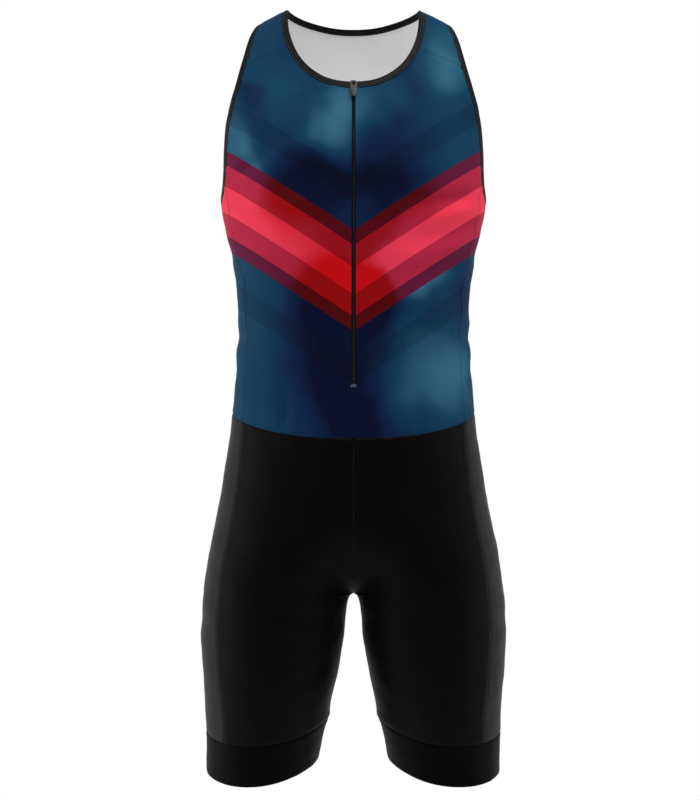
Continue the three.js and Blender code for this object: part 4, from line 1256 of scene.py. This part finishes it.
def tape_material():
    """Folded elastic tape: black nylon with a fine cross rib, a little glossier than the jersey."""
    material, tree, shader = new_material("black folded elastic tape", {
        "Roughness": 0.5, "Specular IOR Level": 0.3, "IOR": 1.25,
        "Sheen Weight": 0.04, "Sheen Tint": linear("#8d8f92"),
    })
    place = add_node(tree, "UVMap", uv_map="cloth").outputs[0]
    ribs = waves(tree, place, RIB_PITCH, "Y", {"Distortion": 0.8})
    height = combined(tree, "ADD", ribs, noise(tree, place, 900.0, 2.0))
    bumped(tree, shader, height, 0.35, 0.0002)
    shaded(tree, shader, "#040404", height, 0.7, 1.3, end=2.0)
    return material


def thread_material(name, code):
    """Spun polyester sewing thread: softly shining, its fibres a fine uneven grain."""
    material, tree, shader = new_material(name, {"Roughness": 0.45, "Specular IOR Level": 0.4})
    grain = noise(tree, add_node(tree, "TexCoord").outputs["Object"], 2600.0, 1.0)
    shaded(tree, shader, code, grain, 0.7, 1.25)
    bumped(tree, shader, grain, 0.3, 0.0001)
    return material


TAPE = tape_material()
TAPE_THREAD = thread_material("grey polyester sewing thread", "#3c3a38")
SEAM_THREAD = thread_material("black polyester sewing thread", "#0c0d10")


def neck_side(front, back):
    """One side's neckline, from the zip over the shoulder to the middle of the back."""
    return [
        np.vstack([f[first_neck_row:, 0], b[first_back_neck_row:, 0][::-1][1:]]) for f, b in zip(front, back)
    ]


left_neck, left_neck_normals = neck_side(front_left, back_left)
right_neck, right_neck_normals = neck_side(front_right, back_right)
neck_path = np.vstack([left_neck, right_neck[::-1][1:]])
neck_normals = np.vstack([left_neck_normals, right_neck_normals[::-1][1:]])
neck_binding = bound_edge("neck_folded_tape", neck_path, neck_normals, TAPE, closed=False)
neck_stitches = stitch_rows(
    "neck_tape_stitches", binding_stitches(neck_path, neck_normals, False), TAPE_THREAD,
    STITCH["length"], STITCH["radius"],
)
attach(neck_binding, "garment")
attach(neck_stitches, "garment")
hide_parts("neck_binding")


# Armhole bindings: a ring of the same tape round each armhole, along the side strip's top, the back's
# edge over the shoulder and the front's edge, sewn in the same way.
sewn_on = [neck_binding, neck_stitches]
for side, front, back in (("left", front_left, back_left), ("right", front_right, back_right)):
    ring, ring_normals = [
        np.vstack([
            strip[-1], b[len(TRUNK_ROWS) :, -1], f[len(TRUNK_ROWS) :, -1][::-1][1:],
        ])
        for strip, f, b in zip(side_worn[side], front, back)
    ]
    armhole_binding = bound_edge(f"armhole_folded_tape_{side}", ring, ring_normals, TAPE, closed=True)
    armhole_stitches = stitch_rows(
        f"armhole_tape_stitches_{side}", binding_stitches(ring, ring_normals, True), TAPE_THREAD,
        STITCH["length"], STITCH["radius"],
    )
    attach(armhole_binding, "garment")
    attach(armhole_stitches, "garment")
    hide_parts(f"armhole_binding_{side}")
    sewn_on += [armhole_binding, armhole_stitches]


# Seam stitches: black polyester thread along every flat seam, in the valley that it pulls into the cloth.
SEAM_STITCH = {"pitch": 2.9, "length": 2.3, "radius": 0.22}


def seam_row(points, normals, closed=False):
    """The stitches along one seam, as a row for stitch_rows."""
    length = edge_length(points, closed)
    count = int(length / SEAM_STITCH["pitch"])
    places = (np.arange(count) + 0.5) * length / count
    middle, along, up, aside = path_frame(points, normals, places, closed)
    return middle + 0.05 * up, along, up, aside


def line_of(surface, rows, columns):
    """One row or one column of a surface's points and normals."""
    return [part[rows, columns] for part in surface]


every = slice(None)
trunk = slice(0, len(TRUNK_ROWS))
below_crotch = slice(HIP_ROWS["count"], None)  # from just above the crotch down
top_seams = [line_of(front_left, -1, every), line_of(front_right, -1, every)]
for surface in (front_left, front_right, back_left, back_right):
    top_seams += [line_of(surface, 0, every), line_of(surface, trunk, -1)]
top_seams += [line_of(side_worn[side], 0, every) for side in ("left", "right")]
shorts_seams = [
    line_of(shorts_worn["front", "left"], every, 0),
    line_of(shorts_worn["back", "left"], every, -1),
]
shorts_seams.append(line_of(shorts_worn["front", "right"], below_crotch, 0))
for side in ("left", "right"):
    shorts_seams += [line_of(shorts_worn["side", side], every, column) for column in (0, -1)]
band_seams = [line_of(band_worn[side], 0, every) for side in ("left", "right")]
for name, slot, rows in (
    ("top_seam_stitches", "printed_jersey", [seam_row(*line) for line in top_seams]),
    ("shorts_seam_stitches", "black_jersey", [seam_row(*line) for line in shorts_seams]),
    ("band_seam_stitches", "band_elastic", [seam_row(*line, closed=True) for line in band_seams]),
):
    stitches = stitch_rows(name, rows, SEAM_THREAD, SEAM_STITCH["length"], SEAM_STITCH["radius"])
    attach(stitches, "garment")


# Zip: a closed nylon coil on woven polyester tape, sewn in behind the slit's turned edges, with the
# tape's own folds lying over the coil from both sides. A bar tack in blue thread closes its foot.
ZIP_TAPE_REACH = 3.0  # behind the cloth on each side of the slit
ZIP_TAPE_DEPTH = 1.15
ZIP_TAPE_THICKNESS = 0.45
ZIP_TAPE_ENDS = {"below_neck": 4, "over": 2.5}  # where it narrows to the slit's width
COIL = {"pitch": 1.3, "length": 1.9, "radius": 0.4, "depth": 0.75, "offsets": (0.48, -0.28)}
TAPE_FOLDS = {"right": (-1.0, -0.14), "left": (0.36, 1.0)}  # as shares of the slit's half width
FOLD_POINTS = 18
FOLD_RADIUS = 0.42
BAR_TACK = {"width": 8.4, "wraps": 11, "pitch": 0.33, "radius": 0.25}
NECK_TOP = height_over_shoulder(neck_turn[0])
ZIP_TOP = NECK_TOP + TAPE_WIDTH - TAPE_OVERLAP - 0.3


def on_front(x, h, depth):
    """Points and normals of the worn front, at distances x from the middle and some depth in its cloth."""
    x, h, depth = np.broadcast_arrays(x, h, depth)
    points, normals = suit_surface(90 + np.sign(x) * sideways(np.abs(x), h), h)
    return points + normals * (cloth_lift(points, normals) - depth)[..., None], normals


def rods_across(x, h, depth):
    """Rows for stitch_rows of rods that lie across the front."""
    middle, up = on_front(x, h, depth)
    across = unit(np.cross(np.cross(up, (1, 0, 0)), up))
    return [(middle, across, up, np.cross(up, across))]


def woven_polyester(name, code):
    """Plain woven polyester: fine cross threads as waves along its UV map, faintly shining."""
    material, tree, shader = new_material(name, {"Roughness": 0.55, "Specular IOR Level": 0.06})
    place = add_node(tree, "UVMap", uv_map="cloth").outputs[0]
    weft = waves(tree, place, 0.0006, "Y", {"Distortion": 0.6})
    warp = waves(tree, place, 0.0005, "X", {"Distortion": 0.6})
    weave = combined(tree, "MULTIPLY", weft, warp)
    shaded(tree, shader, code, weave, 0.75, 1.25)
    bumped(tree, shader, weave, 0.3, 0.0001)
    return material


def nylon(name, code):
    """Drawn nylon monofilament: smooth and softly shining, slightly uneven in its dye."""
    material, tree, shader = new_material(name, {"Specular IOR Level": 0.35})
    dye = noise(tree, add_node(tree, "TexCoord").outputs["Object"], 700.0, 2.0)
    tree.links.new(ranged(tree, dye, 0.28, 0.5), shader.inputs["Roughness"])
    shaded(tree, shader, code, dye, 0.8, 1.2)
    return material


ZIP_WEAVE = woven_polyester("black woven polyester zip tape", "#050609")
FOLD_WEAVE = woven_polyester("blue-black woven polyester zip tape", "#0a0d18")
COIL_NYLON = nylon("black nylon coil", "#0a0a0c")
TACK_THREAD = thread_material("grey-blue polyester sewing thread", "#2c4860")

tape_h = np.linspace(ZIP_BOTTOM - 2.5, ZIP_TOP, round((ZIP_TOP - ZIP_BOTTOM) / 2))
near_end = smooth((tape_h - NECK_TOP + ZIP_TAPE_ENDS["below_neck"]) / ZIP_TAPE_ENDS["over"])
tape_reach = zip_half_width(tape_h) + ZIP_TAPE_REACH * (1 - near_end) - 0.15
zip_tape = cloth_piece(
    "zip_woven_tape",
    [on_front(tape_reach[:, None] * np.linspace(-1, 1, 13), tape_h[:, None], ZIP_TAPE_DEPTH)],
    [ZIP_WEAVE], ZIP_TAPE_THICKNESS,
)
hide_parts("zip_tape")
zip_pieces = [zip_tape]

turns = np.arange(FOLD_POINTS) * 2 * math.pi / FOLD_POINTS
fold_h = np.linspace(ZIP_BOTTOM + 0.4, ZIP_TOP - 0.2, round((ZIP_TOP - ZIP_BOTTOM) / 1.5))
for side, (start, end) in TAPE_FOLDS.items():
    slit = zip_half_width(fold_h)[:, None] - 0.12
    wobble = 0.05 * np.sin(fold_h / 3.7)[:, None] + 0.04 * np.sin(fold_h / 9.1 + 1)[:, None]
    fold_x = slit * ((start + end) / 2 + (end - start) / 2 * np.cos(turns)) + wobble
    rings, _ = on_front(fold_x, fold_h[:, None], FOLD_RADIUS - FOLD_RADIUS * np.sin(turns) + wobble)
    zip_pieces.append(swept(f"zip_tape_fold_{side}", rings, FOLD_WEAVE, closed=False))

coil_h = np.arange(ZIP_BOTTOM + 1, ZIP_TOP - 0.6, COIL["pitch"] / 2)
coil_x = np.array(COIL["offsets"])[np.arange(len(coil_h)) % 2]
zip_pieces.append(stitch_rows(
    "zip_coil_teeth", rods_across(coil_x, coil_h, COIL["depth"]), COIL_NYLON, COIL["length"], COIL["radius"]
))
for piece in zip_pieces:
    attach(piece, "garment")

wrap = np.arange(BAR_TACK["wraps"])
tack_h = ZIP_BOTTOM + 0.6 - wrap * BAR_TACK["pitch"]
# Sewn by machine, the wraps lie a little unevenly beside and over each other.
bar_tack = stitch_rows(
    "zip_bar_tack", rods_across(0.25 * np.sin(wrap * 2.4), tack_h, -0.1 * np.cos(wrap)), TACK_THREAD,
    BAR_TACK["width"], BAR_TACK["radius"],
)
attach(bar_tack, "garment")
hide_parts("zip_stop")
sewn_on += zip_pieces + [bar_tack]


# Slider and pull tab: small zinc castings with rounded edges, lacquered black. The tab hangs on the bar
# of the slider's bridge, over the top of the zip.
EDGE_ROUNDING = 0.00028  # in metres


def black_lacquer():
    """Semi-gloss black lacquer on a casting: a little orange peel, and duller rubbed spots."""
    constants = {"Specular IOR Level": 0.3, "Coat Weight": 0.08, "Coat Roughness": 0.2}
    material, tree, shader = new_material("black lacquered zinc casting", constants)
    place = add_node(tree, "TexCoord").outputs["Object"]
    rubbed = noise(tree, place, 260.0, 4.0)
    tree.links.new(ranged(tree, rubbed, 0.25, 0.6), shader.inputs["Roughness"])
    shaded(tree, shader, "#0b0a09", rubbed, 0.7, 1.4)
    bumped(tree, shader, noise(tree, place, 1400.0, 2.0), 0.15, 0.0001)
    return material


LACQUER = black_lacquer()
for name, node, body in (
    ("lacquered_slider", "zip_slider", "garment"),
    ("lacquered_pull_tab", "zip_pull_tab", "pull_tab"),
):
    casting_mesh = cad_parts[node].data.copy()
    casting_mesh.name = name
    cast = bmesh.new()
    cast.from_mesh(casting_mesh)
    bmesh.ops.remove_doubles(cast, verts=cast.verts, dist=1e-6)
    bmesh.ops.dissolve_limit(cast, angle_limit=math.radians(3), verts=cast.verts, edges=cast.edges)
    for face in cast.faces:
        face.smooth = True
    cast.to_mesh(casting_mesh)
    cast.free()
    casting_mesh.materials.clear()
    casting_mesh.materials.append(LACQUER)
    casting = bpy.data.objects.new(name, casting_mesh)
    bpy.context.scene.collection.objects.link(casting)
    rounding = casting.modifiers.new("cast edges", "BEVEL")
    rounding.width = EDGE_ROUNDING
    rounding.segments = 3
    rounding.angle_limit = math.radians(30)
    rounding.harden_normals = True
    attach(casting, body)
    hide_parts(node)
